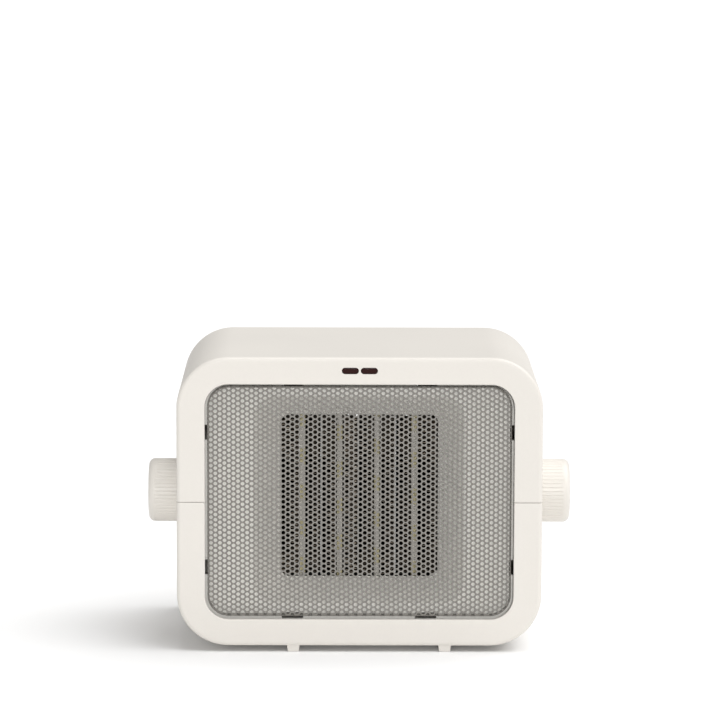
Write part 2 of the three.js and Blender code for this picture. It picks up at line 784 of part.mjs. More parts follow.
function motorCoil() {
  const { below, length, limb } = stator;
  const half = statorWindow.half - clearance;
  const [y0, y1] = [-coilWall.deep, length + coilWall.deep];
  const around = block(-half, half, y0, y1, -below - coilWall.high, -below + limb + coilWall.high);
  const [low, high] = [-below - clearance, -below + limb + clearance];
  const hole = block(-half - 1, half + 1, -clearance, length + clearance, low, high);
  return cut(around, hole);
}

const bearingReach = bridgeThickness;
const frontBracket = bearingBracket(bearingReach);
addPart(machine, "motor_bracket_front", frontBracket, steel).position.y = bracketFront;
const rearBracket = addPart(machine, "motor_bracket_rear", bearingBracket(bearingReach), steel);
rearBracket.position.y = statorBack + clearance + bracketSheet;
rearBracket.rotation.z = Math.PI;
addPart(machine, "motor_stator", motorStator(), steel).position.y = statorFront;
addPart(machine, "motor_coil", motorCoil(), copper).position.y = statorFront;
[-1, 1].forEach((side, place) => {
  const seat = statorBack + 2 * clearance + bracketSheet;
  const length = seat - (front + bridgeDepth) - 1;
  const motorScrew = screw(motorScrewHead, length, "y");
  const mesh = addPart(machine, `motor_screw_${place + 1}`, motorScrew, steel);
  mesh.position.set(side * motorScrewPlace, seat, 0);
});

// Fan: impeller, rotor and their shaft turn together. A blade is lofted from inside the hub to beyond
// the tip.
function impellerBlade() {
  const chordMiddle = new THREE.Vector2();
  const section = (radius, { chord, pitch }) => {
    const camber = [[-0.5, 0], [-0.2, bladeCamber], [0.2, bladeCamber], [0.5, 0]];
    const top = camber.map(([u, v]) => [u * chord, v * chord + bladeSheet / 2]).reverse();
    const under = camber.map(([u, v]) => [u * chord, v * chord - bladeSheet / 2]);
    const points = [...under, ...top].map(([u, v]) => {
      return new THREE.Vector2(u, v).rotateAround(chordMiddle, THREE.MathUtils.degToRad(pitch));
    });
    return { y: radius, points };
  };
  return loftY([section(hubRadius - 3, bladeRoot), section(impellerRadius + 4, bladeTip)]);
}

function impeller() {
  const hub = turned(
    [[0, 0], [hubRadius - 3, 0], [hubRadius, 3], [hubRadius, impellerLength], [0, impellerLength]],
    "y",
    largeRound / 2,
  );
  const blades = Array.from({ length: bladeCount }, (_, i) => {
    const blade = impellerBlade().translate([0, 0, impellerLength / 2]);
    return blade.rotate([90, 0, 0]).rotate([180, (i * 360) / bladeCount, 0]);
  });
  const swept = rod(impellerRadius, 0, impellerLength, "y", largeRound);
  const bore = rod(shaftRadius + shaftGap, 3, impellerLength + 1, "y");
  const under = tube(hubRadius - 2, 5, 6, impellerLength + 1, "y", largeRound / 2);
  return cut(join(hub, join(...blades).intersect(swept)), bore, under);
}

const shaftEnd = statorBack + bracketSheet + bearingReach;
const fan = new THREE.Group();
machine.add(fan);
addPart(fan, "impeller", impeller(), greyPlastic).position.y = front + impellerFront;
const shaftStart = front + impellerFront + 3 + clearance;
addPart(fan, "motor_shaft", rod(shaftRadius, shaftStart, shaftEnd, "y"), steel);
const rotorRadius = stator.bore - rotorGap;
const rotor = tube(rotorRadius, shaftRadius + shaftGap, statorFront + 1, statorBack - 1, "y", largeRound);
addPart(fan, "motor_rotor", rotor, steel);

// Controls, modelled outward along +X from the casing's side, and turned round for the left side
function knob() {
  const reach = knobReach;
  const arc = [0.25, 0.5, 0.75].map((share) => {
    const angle = (share * Math.PI) / 2;
    return [knobRadius - knobRound * (1 - Math.cos(angle)), reach - knobRound * (1 - Math.sin(angle))];
  });
  const inner = knobRadius - knobWall;
  const stem = spindleRadius + shaftGap + knobWall;
  const stemStart = bushReach + 1;
  return turned(
    [
      [0, spindleReach + clearance],
      [spindleRadius + shaftGap, spindleReach + clearance],
      [spindleRadius + shaftGap, stemStart],
      [stem, stemStart],
      [stem, reach - knobWall],
      [inner - 1, reach - knobWall],
      [inner, reach - knobWall - 2],
      [inner, knobGap],
      [knobRadius, knobGap],
      [knobRadius, reach - knobRound],
      ...arc,
      [knobRadius - knobRound, reach],
      [0, reach],
    ],
    "x",
    largeRound,
  );
}

function controlNut() {
  const hexagon = rod(nutRadius, clearance, clearance + nutHeight, "x", 6);
  return cut(hexagon, rod(bushRadius + clearance, -1, clearance + nutHeight + 1, "x", 2 * smallRound));
}

// The bush passes through the casing's wall, and the body sits against the wall's inner face
const controlFace = -wall - clearance;
const bodyBack = controlFace - controlDepth;
const spindleStart = controlFace - 6;

function controlBush() {
  const bush = rod(bushRadius, controlFace - 1, bushReach, "x", 2 * smallRound);
  const bore = rod(spindleRadius + shaftGap, spindleStart - clearance, bushReach + 1, "x", 2 * smallRound);
  return { bush, bore };
}

function selectorSwitch() {
  const { bush, bore } = controlBush();
  const profile = [
    [0, bodyBack],
    [switchRadius - 1, bodyBack],
    [switchRadius, bodyBack + 1],
    [switchRadius, controlFace],
    [0, controlFace],
  ];
  const drum = turned(profile, "x", largeRound / 2);
  const blades = Array.from({ length: 5 }, (_, i) => {
    const y = (switchRadius - 5) * Math.cos((i * 2 * Math.PI) / 5);
    const z = (switchRadius - 5) * Math.sin((i * 2 * Math.PI) / 5);
    return block(bodyBack - bladeReach + 2, bodyBack + 1, y - 0.4, y + 0.4, z - 2.4, z + 2.4);
  });
  return cut(join(drum, bush, ...blades), bore);
}

function thermostatBody() {
  const { bush, bore } = controlBush();
  const { y, z } = thermostatHalf;
  const plate = block(controlFace - 2, controlFace, -y, y, -z, z);
  const stack = block(bodyBack + 3, controlFace - 1, -y + 6, y - 6, -z + 3, z - 12);
  const boss = rod(spindleRadius + 4, bodyBack + 3, controlFace - 1, "x", 2 * smallRound);
  const strip = block(bodyBack, bodyBack + 1.2, -y + 7, y - 7, -z + 3, z);
  const anchor = block(bodyBack, bodyBack + 4, -y + 7, y - 7, -z + 3, -z + 9);
  return cut(join(plate, stack, boss, strip, anchor), bore).add(cut(bush, bore));
}

function addControl(side, names, body, finish) {
  const control = new THREE.Group();
  control.position.set(side * halfWidth, knobY, 0);
  control.rotation.z = side < 0 ? Math.PI : 0;
  machine.add(control);
  addPart(control, names.knob, knob(), plastic);
  const flat = block(bushReach + 1, knobReach, spindleRadius - 1, knobRadius, -knobRadius, knobRadius);
  const spindle = cut(rod(spindleRadius, spindleStart, spindleReach, "x", 2 * smallRound), flat);
  addPart(control, names.spindle, spindle, steel);
  addPart(control, names.nut, controlNut(), steel);
  addPart(control, names.body, body, finish);
}

addControl(
  -1,
  { knob: "selector_knob", spindle: "selector_spindle", nut: "selector_nut", body: "selector_switch" },
  selectorSwitch(),
  darkPlastic,
);
addControl(
  1,
  {
    knob: "thermostat_knob",
    spindle: "thermostat_spindle",
    nut: "thermostat_nut",
    body: "thermostat_body",
  },
  thermostatBody(),
  steel,
);

// Indicators: a lens in the front ring, a lamp behind it and one small board for both
const lensBack = front + frontWall + clearance + lensFlange;

function indicatorLens() {
  const face = roundedRect(lensWidth, lensHeight, lensHeight / 2 - 0.01);
  const flangeHeight = lensHeight + 2 * lensFlange;
  const flange = roundedRect(lensWidth + 1, flangeHeight, flangeHeight / 2 - 0.01);
  const flangeFront = front + frontWall + clearance;
  return join(
    prismY(face, front + lensRecess, lensBack, 0, fineSteps),
    prismY(flange, flangeFront, lensBack, 0, fineSteps),
  );
}

[["left", -1], ["right", 1]].forEach(([word, side]) => {
  const lens = addPart(machine, `indicator_lens_${word}`, indicatorLens(), redLens);
  lens.position.set(side * lensPlace, 0, lensZ);
  const lampStart = lensBack + clearance;
  const lamp = rod(lampRadius, lampStart, lampStart + lampLength, "y");
  addPart(machine, `indicator_lamp_${word}`, lamp, redLens).position.set(side * lensPlace, 0, lensZ);
});
const boardFront = lensBack + lampLength + 2 * clearance;
const boardBack = boardFront + boardSheet;
const board = block(-boardHalf.x, boardHalf.x, boardFront, boardBack, -boardHalf.z, boardHalf.z);
addPart(machine, "indicator_board", board, boardGreen).position.z = lensZ;

// Tip-over switch: the floor holds the plunger up, and a spring pushes it out when the heater is lifted
const bottomInner = -innerHalfHeight;
const flangeLow = bottomInner + plungerTravel + 1.4;
const flangeHigh = flangeLow + 2;
const springLow = flangeHigh + clearance;
const ceiling = springLow + springLength + clearance;
const plungerTop = ceiling + housingWall + 5;

function plunger() {
  return turned(
    [
      [0, floor],
      [plungerRadius - 1, floor],
      [plungerRadius, floor + 1],
      [plungerRadius, flangeLow],
      [plungerFlange, flangeLow],
      [plungerFlange, flangeHigh],
      [plungerRadius, flangeHigh],
      [plungerRadius, plungerTop],
      [0, plungerTop],
    ],
    "z",
    largeRound / 2,
  );
}

function springCoil() {
  class Helix extends THREE.Curve {
    getPoint(t, target = new THREE.Vector3()) {
      const angle = t * springTurns * 2 * Math.PI;
      const rise = springLow + springWire + t * (springLength - 2 * springWire);
      return target.set(springRadius * Math.cos(angle), springRadius * Math.sin(angle), rise);
    }
  }
  const options = { steps: springTurns * 8, extrudePath: new Helix(), curveSegments: 1 };
  const section = polygon(Array.from({ length: 5 }, (_, i) => {
    const angle = (i * 2 * Math.PI) / 5;
    return [springWire * Math.cos(angle), springWire * Math.sin(angle)];
  }));
  return solidOf(new THREE.ExtrudeGeometry(section, options));
}

function tipHousing() {
  const { x, y } = housingHalf;
  const low = bottomInner + clearance;
  const bodyBlock = block(-x, x, -y, y, low, ceiling + housingWall);
  const backPlate = block(-x, x, y - 2, y, low, plungerTop + microswitch.z + 2);
  const channel = rod(plungerFlange + 0.6, low - 1, ceiling, "z", largeRound / 2);
  const passage = rod(plungerRadius + plungerGap, low - 1, ceiling + housingWall + 1, "z", largeRound / 2);
  return cut(join(bodyBlock, backPlate), channel, passage);
}

function tipMicroswitch() {
  const { halfX, y, z } = microswitch;
  const y1 = housingHalf.y - 2 - clearance;
  const low = plungerTop + 1.2;
  const can = block(-halfX, halfX, y1 - y, y1, low, low + z);
  const lever = block(-halfX, plungerRadius, y1 - y + 1, y1 - 2, plungerTop + clearance, plungerTop + 0.8);
  const hinge = block(-halfX, -halfX + 1.5, y1 - y + 1, y1 - 2, plungerTop + 0.5, low + 1);
  return join(can, lever, hinge);
}

const tipSwitch = new THREE.Group();
tipSwitch.position.y = tipY;
machine.add(tipSwitch);
addPart(tipSwitch, "tip_plunger", plunger(), darkPlastic);
addPart(tipSwitch, "tip_spring", springCoil(), steel);
addPart(tipSwitch, "tip_switch_housing", tipHousing(), greyPlastic);
addPart(tipSwitch, "tip_microswitch", tipMicroswitch(), darkPlastic);

// Mains inlet: a flanged gland in the rear cover, and the terminal block on the casing's floor
function cordGland() {
  const profile = [
    [glandBore, coverInner - glandInside],
    [glandRadius, coverInner - glandInside],
    [glandRadius, coverOuter + clearance],
    [glandFlange, coverOuter + clearance],
    [glandFlange, back - 1.4],
    [glandFlange - 1, back - 0.4],
    [glandBore, back - 0.4],
    [glandBore, coverInner - glandInside],
  ];
  return turned(profile, "y", 2 * smallRound);
}

function terminalBlock() {
  const { width, length, height, hole, count } = terminals;
  const postSide = halfWidth - postInset - postRadius;
  const from = (housingHalf.x + postSide - width) / 2 + terminalShift;
  const low = bottomInner + clearance;
  const y0 = front + terminalDepth;
  const holes = Array.from({ length: count }, (_, i) => {
    const x = from + ((i + 0.5) * width) / count;
    return join(
      rod(hole, y0 - 1, y0 + length + 1, "y").translate([x, 0, low + height / 2]),
      rod(hole * 0.8, low + height / 2, low + height + 1, "z").translate([x, y0 + length / 3, 0]),
    );
  });
  return cut(block(from, from + width, y0, y0 + length, low, low + height), ...holes);
}

addPart(machine, "cord_gland", cordGland(), darkPlastic).position.set(glandX, 0, glandZ);
addPart(machine, "terminal_block", terminalBlock(), greyPlastic);

export default heater;
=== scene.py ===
"""A compact ceramic space heater: a cream moulded casing, a perforated front grille, a knob on each side,
and the heating element, fan, switches and mains inlet behind them. Sizes are in millimetres and meshes are
made in metres."""

import math

import bmesh
import bpy
from mathutils import Matrix, Vector


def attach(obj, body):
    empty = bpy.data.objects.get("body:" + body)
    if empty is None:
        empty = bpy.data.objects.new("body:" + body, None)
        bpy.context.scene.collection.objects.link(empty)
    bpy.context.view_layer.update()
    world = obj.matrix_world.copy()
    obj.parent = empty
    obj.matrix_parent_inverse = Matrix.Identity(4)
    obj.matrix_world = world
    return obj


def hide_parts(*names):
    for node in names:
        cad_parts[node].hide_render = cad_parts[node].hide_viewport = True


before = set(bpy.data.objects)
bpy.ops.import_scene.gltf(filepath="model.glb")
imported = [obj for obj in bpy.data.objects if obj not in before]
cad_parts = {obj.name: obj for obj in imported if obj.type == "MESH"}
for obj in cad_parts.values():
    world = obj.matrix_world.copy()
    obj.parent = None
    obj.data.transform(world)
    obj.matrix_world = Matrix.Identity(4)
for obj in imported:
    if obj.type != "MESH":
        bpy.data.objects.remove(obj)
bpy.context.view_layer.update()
MM = 0.001

# Stage: a seamless pale floor under even studio daylight, a large soft key light high on the right, and a
# weaker fill light beside the camera that reaches in through the grille. The lens is long and looks slightly
# down. The backdrop above the horizon is white.
FLOOR_HALF = 40.0
FLOOR_WHITE = (0.93, 0.93, 0.93, 1)
DAYLIGHT = (1.0, 0.995, 0.985, 1)
DAYLIGHT_STRENGTH = 0.42
BACKDROP_STRENGTH = 1.1
KEY_STRENGTH = 2.65
KEY_ANGLE = math.radians(64)
KEY_FROM = Vector((0.40, -0.04, 0.87))
FILL_STRENGTH = 1.05
FILL_ANGLE = math.radians(4)
FILL_FROM = Vector((0.03, -1.0, 0.205))
CAMERA_PLACE = (-0.0150, -2.5813, 0.5555)
CAMERA_PITCH = math.radians(-8.195)
CAMERA_TURN = math.radians(-0.344)
CAMERA_ROLL = math.radians(0.173)
CAMERA_LENS = 194.1


class Socket:
    """A value in a node tree. Sums written with it add Math nodes to that tree."""

    def __init__(self, tree, source):
        self.tree = tree
        self.source = source

    def math(self, operation, *others):
        return self.tree.node("ShaderNodeMath", {"operation": operation}, dict(enumerate((self, *others))))

    def __add__(self, other):
        return self.math("ADD", other)

    def __mul__(self, other):
        return self.math("MULTIPLY", other)

    def __sub__(self, other):
        return self.math("SUBTRACT", other)

    def __truediv__(self, other):
        return self.math("DIVIDE", other)

    def __rsub__(self, other):
        return self.tree.node("ShaderNodeMath", {"operation": "SUBTRACT"}, {0: other, 1: self})

    __radd__ = __add__
    __rmul__ = __mul__


class Tree:
    """Adds nodes to the tree of one material, world or Geometry Nodes group."""

    def __init__(self, nodes):
        self.nodes = nodes

    def node(self, kind, settings=None, inputs=None, output=0):
        made = self.nodes.nodes.new(kind)
        for name, value in (settings or {}).items():
            if name == "stops":
                while len(made.color_ramp.elements) < len(value):
                    made.color_ramp.elements.new(0.5)
                for element, (position, colour) in zip(made.color_ramp.elements, value):
                    element.position = position
                    element.color = colour
            else:
                setattr(made, name, value)
        for key, value in (inputs or {}).items():
            named = [s for s in made.inputs if key in (s.identifier, s.name)]
            socket = made.inputs[key] if isinstance(key, int) else named[0]
            if isinstance(value, (Socket, list)):
                for link in value if isinstance(value, list) else [value]:
                    self.nodes.links.new(link.source, socket)
            elif value is not None:
                socket.default_value = value
        return Socket(self, made.outputs[output]) if made.outputs else None


def finish_material(name, write):
    """A new material whose surface is the shader that write(tree) returns."""
    material = bpy.data.materials.new(name)
    material.use_nodes = True
    material.node_tree.nodes.clear()
    tree = Tree(material.node_tree)
    tree.node("ShaderNodeOutputMaterial", {}, {"Surface": write(tree)})
    return material


def noise(tree, scale, detail=2.0):
    """Cloudiness from 0 to 1, fixed to the piece, finer with a larger scale."""
    place = tree.node("ShaderNodeTexCoord", output="Object")
    return tree.node("ShaderNodeTexNoise", {}, {"Vector": place, "Scale": scale, "Detail": detail})


def surface(tree, colour, roughness, normal=None, metallic=None, specular=None):
    """A Principled surface; what isn't given stays at the shader's own value."""
    return tree.node("ShaderNodeBsdfPrincipled", {}, {
        "Base Color": colour, "Roughness": roughness, "Normal": normal,
        "Metallic": metallic, "Specular IOR Level": specular,
    })


def floor_paint(tree):
    """Matt white paint, all but even."""
    cloud = noise(tree, 3.0)
    return surface(tree, FLOOR_WHITE, 0.85 + cloud * 0.1, specular=0.1)


floor_mesh = bpy.data.meshes.new("floor")
floor_corners = [(-FLOOR_HALF, -FLOOR_HALF, 0), (FLOOR_HALF, -FLOOR_HALF, 0),
                 (FLOOR_HALF, FLOOR_HALF, 0), (-FLOOR_HALF, FLOOR_HALF, 0)]
floor_mesh.from_pydata(floor_corners, [], [(0, 1, 2, 3)])
floor_mesh.materials.append(finish_material("studio floor", floor_paint))
floor = bpy.data.objects.new("floor", floor_mesh)
bpy.context.scene.collection.objects.link(floor)

world = bpy.data.worlds.new("studio daylight")
world.use_nodes = True
world.node_tree.nodes.clear()
sky = Tree(world.node_tree)
daylight = sky.node("ShaderNodeBackground", {}, {"Color": DAYLIGHT, "Strength": DAYLIGHT_STRENGTH})
backdrop = sky.node("ShaderNodeBackground", {}, {"Color": DAYLIGHT, "Strength": BACKDROP_STRENGTH})
seen = sky.node("ShaderNodeLightPath", output="Is Camera Ray")
studio = sky.node("ShaderNodeMixShader", {}, {0: seen, 1: daylight, 2: backdrop})
sky.node("ShaderNodeOutputWorld", {}, {"Surface": studio})
bpy.context.scene.world = world

for name, strength, angle, source in (
    ("key light", KEY_STRENGTH, KEY_ANGLE, KEY_FROM),
    ("fill light", FILL_STRENGTH, FILL_ANGLE, FILL_FROM),
):
    lamp_data = bpy.data.lights.new(name, "SUN")
    lamp_data.energy = strength
    lamp_data.angle = angle
    lamp = bpy.data.objects.new(name, lamp_data)
    lamp.rotation_euler = source.to_track_quat("Z", "Y").to_euler()
    bpy.context.scene.collection.objects.link(lamp)

camera_data = bpy.data.cameras.new("camera")
camera_data.lens = CAMERA_LENS
camera_data.sensor_width = 36
camera_data.clip_end = 100
camera = bpy.data.objects.new("camera", camera_data)
level = Matrix.Rotation(CAMERA_TURN, 4, "Z") @ Matrix.Rotation(math.pi / 2 + CAMERA_PITCH, 4, "X")
camera.matrix_world = Matrix.Translation(CAMERA_PLACE) @ level @ Matrix.Rotation(CAMERA_ROLL, 4, "Z")
bpy.context.scene.collection.objects.link(camera)
bpy.context.scene.camera = camera
bpy.context.scene.view_settings.view_transform = "Standard"

# Casing: two injection-moulded halves in cream plastic with a fine satin grain, parted at mid height.
# The front ring, the posts for the closing screws and the four feet are moulded in one piece with them.
MIDDLE = 100.0
CASING_HALF = (120.0, 96.0)
FRONT = -75.0
BACK = 75.0
CASING_CORNER = 34.0
FRONT_ROUND = 2.5
REAR_ROUND = 2.0
LIP_ROUND = 0.3
CASING_WALL = 2.6
FRONT_WALL = 3.0
RING_WIDTH = (18.5, 17.8)
WINDOW_ROUND = 0.5
PARTING_GAP = 0.3
PARTING_ROUND = 0.25
CORNER_STEPS = 24
ROUND_STEPS = 8
ROD_STEPS = 48
SHARP_ANGLE = 35
TANGENT_SUPPORT = 1.5
FLAT_SUPPORT = 0.8
POST_PLACES = [(-88, -50), (88, -50), (-88, 45), (88, 45)]
POST_RADIUS = 5.0
WELL_RADIUS = 3.3
WELL_SPAN = (-10.0, 105.0)
POST_GAP = 0.5
POST_FOOT = 5.0
POST_TOP = 194.0
SCREW_BORE = 1.7
PILOT_RADIUS = 1.4
PILOT_SPAN = (95.0, 112.0)
SHOULDER_DROP = 14.0
FOOT_CENTRES = (-43.4, 56.4)
FOOT_FRONTS = (-73.8, 57.8)
FOOT_LENGTH = 16.0
FOOT_HALF_TOP = 4.2
FOOT_HALF_BOTTOM = 3.7
FOOT_HEIGHT = 4.0
FOOT_ROUND = 0.7
LENS_PLACE = 6.2
LENS_Z = 187.3
LENS_SIZE = (10.9, 4.0)
LENS_GAP = 0.15
LENS_CUT = (70.0, 80.0)
BUSH_HOLE = 5.1
BUSH_CUT = (100.0, 130.0)
KNOB_AXIS_Y = -27.0
PLUNGER_PLACE = (0.0, 57.0)
PLUNGER_HOLE = 3.4
PLUNGER_CUT = (-10.0, 12.0)
BOSS_PLACE = (104.3, 80.3)
BOSS_RADIUS = 5.7
BOSS_REACH = (54.0, 68.6)
CREAM = (0.69, 0.659, 0.613)


def arc(centre, radius, start, end, steps=ROUND_STEPS):
    """Points along part of a circle, angles in degrees."""
    turns = [math.radians(start + (end - start) * step / steps) for step in range(steps + 1)]
    return [(centre[0] + radius * math.cos(turn), centre[1] + radius * math.sin(turn)) for turn in turns]


def skin(rings, along=False, caps=True):
    """A skin through rings of equally many points, joined last to first, or capped at both ends."""
    body = bmesh.new()
    rows = [[body.verts.new(point) for point in ring] for ring in rings]
    pairs = list(zip(rows, rows[1:])) + ([(rows[-1], rows[0])] if along else [])
    for near, far in pairs:
        for here in range(len(near)):
            after = (here + 1) % len(near)
            body.faces.new((near[here], near[after], far[after], far[here]))
    if caps and not along:
        body.faces.new(rows[0])
        body.faces.new(list(reversed(rows[-1])))
    bmesh.ops.remove_doubles(body, verts=body.verts, dist=1e-5)
    bmesh.ops.recalc_face_normals(body, faces=body.faces)
    return body


def turned(profile, steps):
    """A profile of (radius, height) points turned about the Z axis."""
    rings = []
    for radius, height in profile:
        rings.append([(x, y, height) for x, y in arc((0, 0), radius, 0, 360, steps)[:-1]])
    closed = profile[0][0] > 0 and profile[-1][0] > 0
    return skin(rings, along=closed, caps=False)


def placed(body, axis="Z", place=(0, 0, 0)):
    """The same body with its Z axis laid along another one and its origin moved."""
    turns = {
        "Z": Matrix.Identity(4),
        "-Z": Matrix.Rotation(math.pi, 4, "X"),
        "X": Matrix.Rotation(math.pi / 2, 4, "Y"),
        "-X": Matrix.Rotation(-math.pi / 2, 4, "Y"),
        "Y": Matrix.Rotation(-math.pi / 2, 4, "X"),
        "-Y": Matrix.Rotation(math.pi / 2, 4, "X"),
    }
    bmesh.ops.transform(body, matrix=Matrix.Translation(place) @ turns[axis], verts=body.verts)
    return body


def merged(bodies):
    """Several bodies as one bmesh."""
    whole = bmesh.new()
    for body in bodies:
        part = bpy.data.meshes.new("part")
        body.to_mesh(part)
        body.free()
        whole.from_mesh(part)
        bpy.data.meshes.remove(part)
    return whole


def painted(made, material):
    """Gives an object one material."""
    made.data.materials.clear()
    made.data.materials.append(material)


def piece(name, body, material=None):
    """A bmesh in millimetres made an object in metres, smooth except at sharp edges."""
    bmesh.ops.scale(body, vec=(MM, MM, MM), verts=body.verts)
    mesh = bpy.data.meshes.new(name)
    body.to_mesh(mesh)
    body.free()
    made = bpy.data.objects.new(name, mesh)
    bpy.context.scene.collection.objects.link(made)
    mesh.shade_smooth()
    mesh.set_sharp_from_angle(angle=math.radians(SHARP_ANGLE))
    if material:
        painted(made, material)
    return made


def settle(made, modifier, sharp=SHARP_ANGLE):
    """Keeps the result of an object's one modifier as its plain mesh."""
    bpy.context.view_layer.update()
    graph = bpy.context.evaluated_depsgraph_get()
    plain = bpy.data.meshes.new_from_object(made.evaluated_get(graph), depsgraph=graph)
    made.modifiers.remove(modifier)
    made.data = plain
    plain.shade_smooth()
    plain.set_sharp_from_angle(angle=math.radians(sharp))
    return made


def combine(made, bodies, operation, sharp=SHARP_ANGLE):
    """Joins bodies, or one object, to an object, or cuts them out of it."""
    tool = bodies if isinstance(bodies, bpy.types.Object) else piece("tool", merged(bodies))
    modifier = made.modifiers.new("Combine", "BOOLEAN")
    modifier.operation = operation
    modifier.solver = "EXACT"
    modifier.object = tool
    settle(made, modifier, sharp)
    bpy.data.objects.remove(tool)
    return made


def rod(radius, low, high):
    """A solid cylinder about the Z axis."""
    return turned([(0, low), (radius, low), (radius, high), (0, high)], ROD_STEPS)


def pill(sections):
    """A bar with round ends, lying along X, through sections given as (width, height, place along Z)."""
    rings = []
    for width, height, z in sections:
        radius = height / 2
        reach = width / 2 - radius
        outline = arc((reach, 0), radius, -90, 90, 2 * ROUND_STEPS)
        outline += arc((-reach, 0), radius, 90, 270, 2 * ROUND_STEPS)
        rings.append([(x, y, z) for x, y in outline])
    return skin(rings)


def half_outline(half, corner, side):
    """Half a rounded rectangle, from the parting line on the right, round two corners, to the left."""
    centre = (half[0] - corner, half[1] - corner)
    rim = PARTING_GAP / 2
    right = [(half[0], z) for z in (rim, rim + PARTING_ROUND + FLAT_SUPPORT, centre[1] - TANGENT_SUPPORT)]
    right += arc(centre, corner, 0, 90, CORNER_STEPS)
    right += [(centre[0] - TANGENT_SUPPORT, half[1])]
    left = [(-x, z) for x, z in reversed(right)]
    return [(x, MIDDLE + side * z) for x, z in right + left]


def casing_profile():
    """The wall's section, a closed loop of ((inset at the sides, inset at top and bottom), depth) points."""
    rear = arc((CASING_WALL - LIP_ROUND, BACK - LIP_ROUND), LIP_ROUND, 0, 90, 3)
    rear += arc((REAR_ROUND, BACK - REAR_ROUND), REAR_ROUND, 90, 180)
    outer = [(0, BACK - REAR_ROUND - FLAT_SUPPORT), (0, FRONT + FRONT_ROUND + FLAT_SUPPORT)]
    nose = arc((FRONT_ROUND, FRONT + FRONT_ROUND), FRONT_ROUND, 180, 270)
    nose += [(FRONT_ROUND + FLAT_SUPPORT, FRONT)]
    points = [((inset, inset), y) for inset, y in rear + outer + nose]
    across, up = RING_WIDTH
    points += [((across - WINDOW_ROUND - FLAT_SUPPORT, up - WINDOW_ROUND - FLAT_SUPPORT), FRONT)]
    for inset, y in arc((-WINDOW_ROUND, FRONT + WINDOW_ROUND), WINDOW_ROUND, -90, 0, 4):
        points.append(((across + inset, up + inset), y))
    points += [((across, up), FRONT + FRONT_WALL), ((CASING_WALL, CASING_WALL), FRONT + FRONT_WALL)]
    return points


def casing_half(name, side):
    """One half of the casing's skin, above (side 1) or below (side -1) the parting line."""
    loops = []
    for (across, up), y in casing_profile():
        half = (CASING_HALF[0] - across, CASING_HALF[1] - up)
        loops.append([(x, y, z) for x, z in half_outline(half, CASING_CORNER - across, side)])
    body = skin(list(zip(*loops)))
    plane = MIDDLE + side * PARTING_GAP / 2
    rims = [e for e in body.edges if all(abs(v.co.z - plane) < 1e-4 for v in e.verts)]
    bmesh.ops.bevel(body, geom=rims, offset=PARTING_ROUND, segments=2, profile=0.5, affect="EDGES")
    return piece(name, body)


def foot(x, y):
    """A tapered foot that reaches up into the casing's floor."""
    top = FOOT_HEIGHT + CASING_WALL / 2
    rings = []
    for z, half in ((0, FOOT_HALF_BOTTOM), (FOOT_HEIGHT, FOOT_HALF_TOP), (top, FOOT_HALF_TOP)):
        front = [(x - half, y, z), (x + half, y, z)]
        rings.append(front + [(x + half, y + FOOT_LENGTH, z), (x - half, y + FOOT_LENGTH, z)])
    body = skin(rings)
    edges = [e for e in body.edges if min(v.co.z for v in e.verts) < FOOT_HEIGHT - 1]
    bmesh.ops.bevel(body, geom=edges, offset=FOOT_ROUND, segments=4, profile=0.5, affect="EDGES")
    return body


def posts(radius, low, high):
    """Four upright rods where the closing screws go."""
    return [placed(rod(radius, low, high), place=(x, y, 0)) for x, y in POST_PLACES]


def rear_bosses(side):
    """The two bosses of one casing half that take the rear cover's screws."""
    x, up = BOSS_PLACE
    places = [(turn * x, 0, MIDDLE + side * up) for turn in (-1, 1)]
    return [placed(rod(BOSS_RADIUS, *BOSS_REACH), "Y", place) for place in places]


def scaled(tree, vector, scale):
    """A colour made darker or lighter, or a vector made longer or shorter."""
    return tree.node("ShaderNodeVectorMath", {"operation": "SCALE"}, {"Vector": vector, "Scale": scale})


def grained(tree, strength, depth, height):
    """The surface normal over a fine grain, its depth in metres."""
    return tree.node("ShaderNodeBump", {}, {"Strength": strength, "Distance": depth, "Height": height})


def cream_plastic(tree):
    """Satin cream plastic: an even colour, faintly cloudy, with the fine spark-eroded grain of its mould."""
    cloud = noise(tree, 14.0, 3.0)
    grain = noise(tree, 1500.0)
    speck = noise(tree, 700.0, 1.0)
    colour = scaled(tree, CREAM, 0.97 + cloud * 0.03 + speck * 0.03)
    normal = grained(tree, 0.22, 0.00006, grain)
    return surface(tree, colour, 0.42 + cloud * 0.12, normal, specular=0.42)


casing_plastic = finish_material("cream casing plastic", cream_plastic)
bush_holes = [placed(rod(BUSH_HOLE, *BUSH_CUT), axis, (0, KNOB_AXIS_Y, MIDDLE)) for axis in ("X", "-X")]
upper = casing_half("casing_upper", 1)
combine(upper, posts(POST_RADIUS, MIDDLE + POST_GAP, POST_TOP) + rear_bosses(1), "UNION")
lens_opening = [size + 2 * LENS_GAP for size in LENS_SIZE]
lens_cut = [(*lens_opening, depth) for depth in LENS_CUT]
lens_holes = [placed(pill(lens_cut), "-Y", (side * LENS_PLACE, 0, LENS_Z)) for side in (-1, 1)]
pilots = posts(PILOT_RADIUS, *PILOT_SPAN)
combine(upper, lens_holes + [hole.copy() for hole in bush_holes] + pilots, "DIFFERENCE")

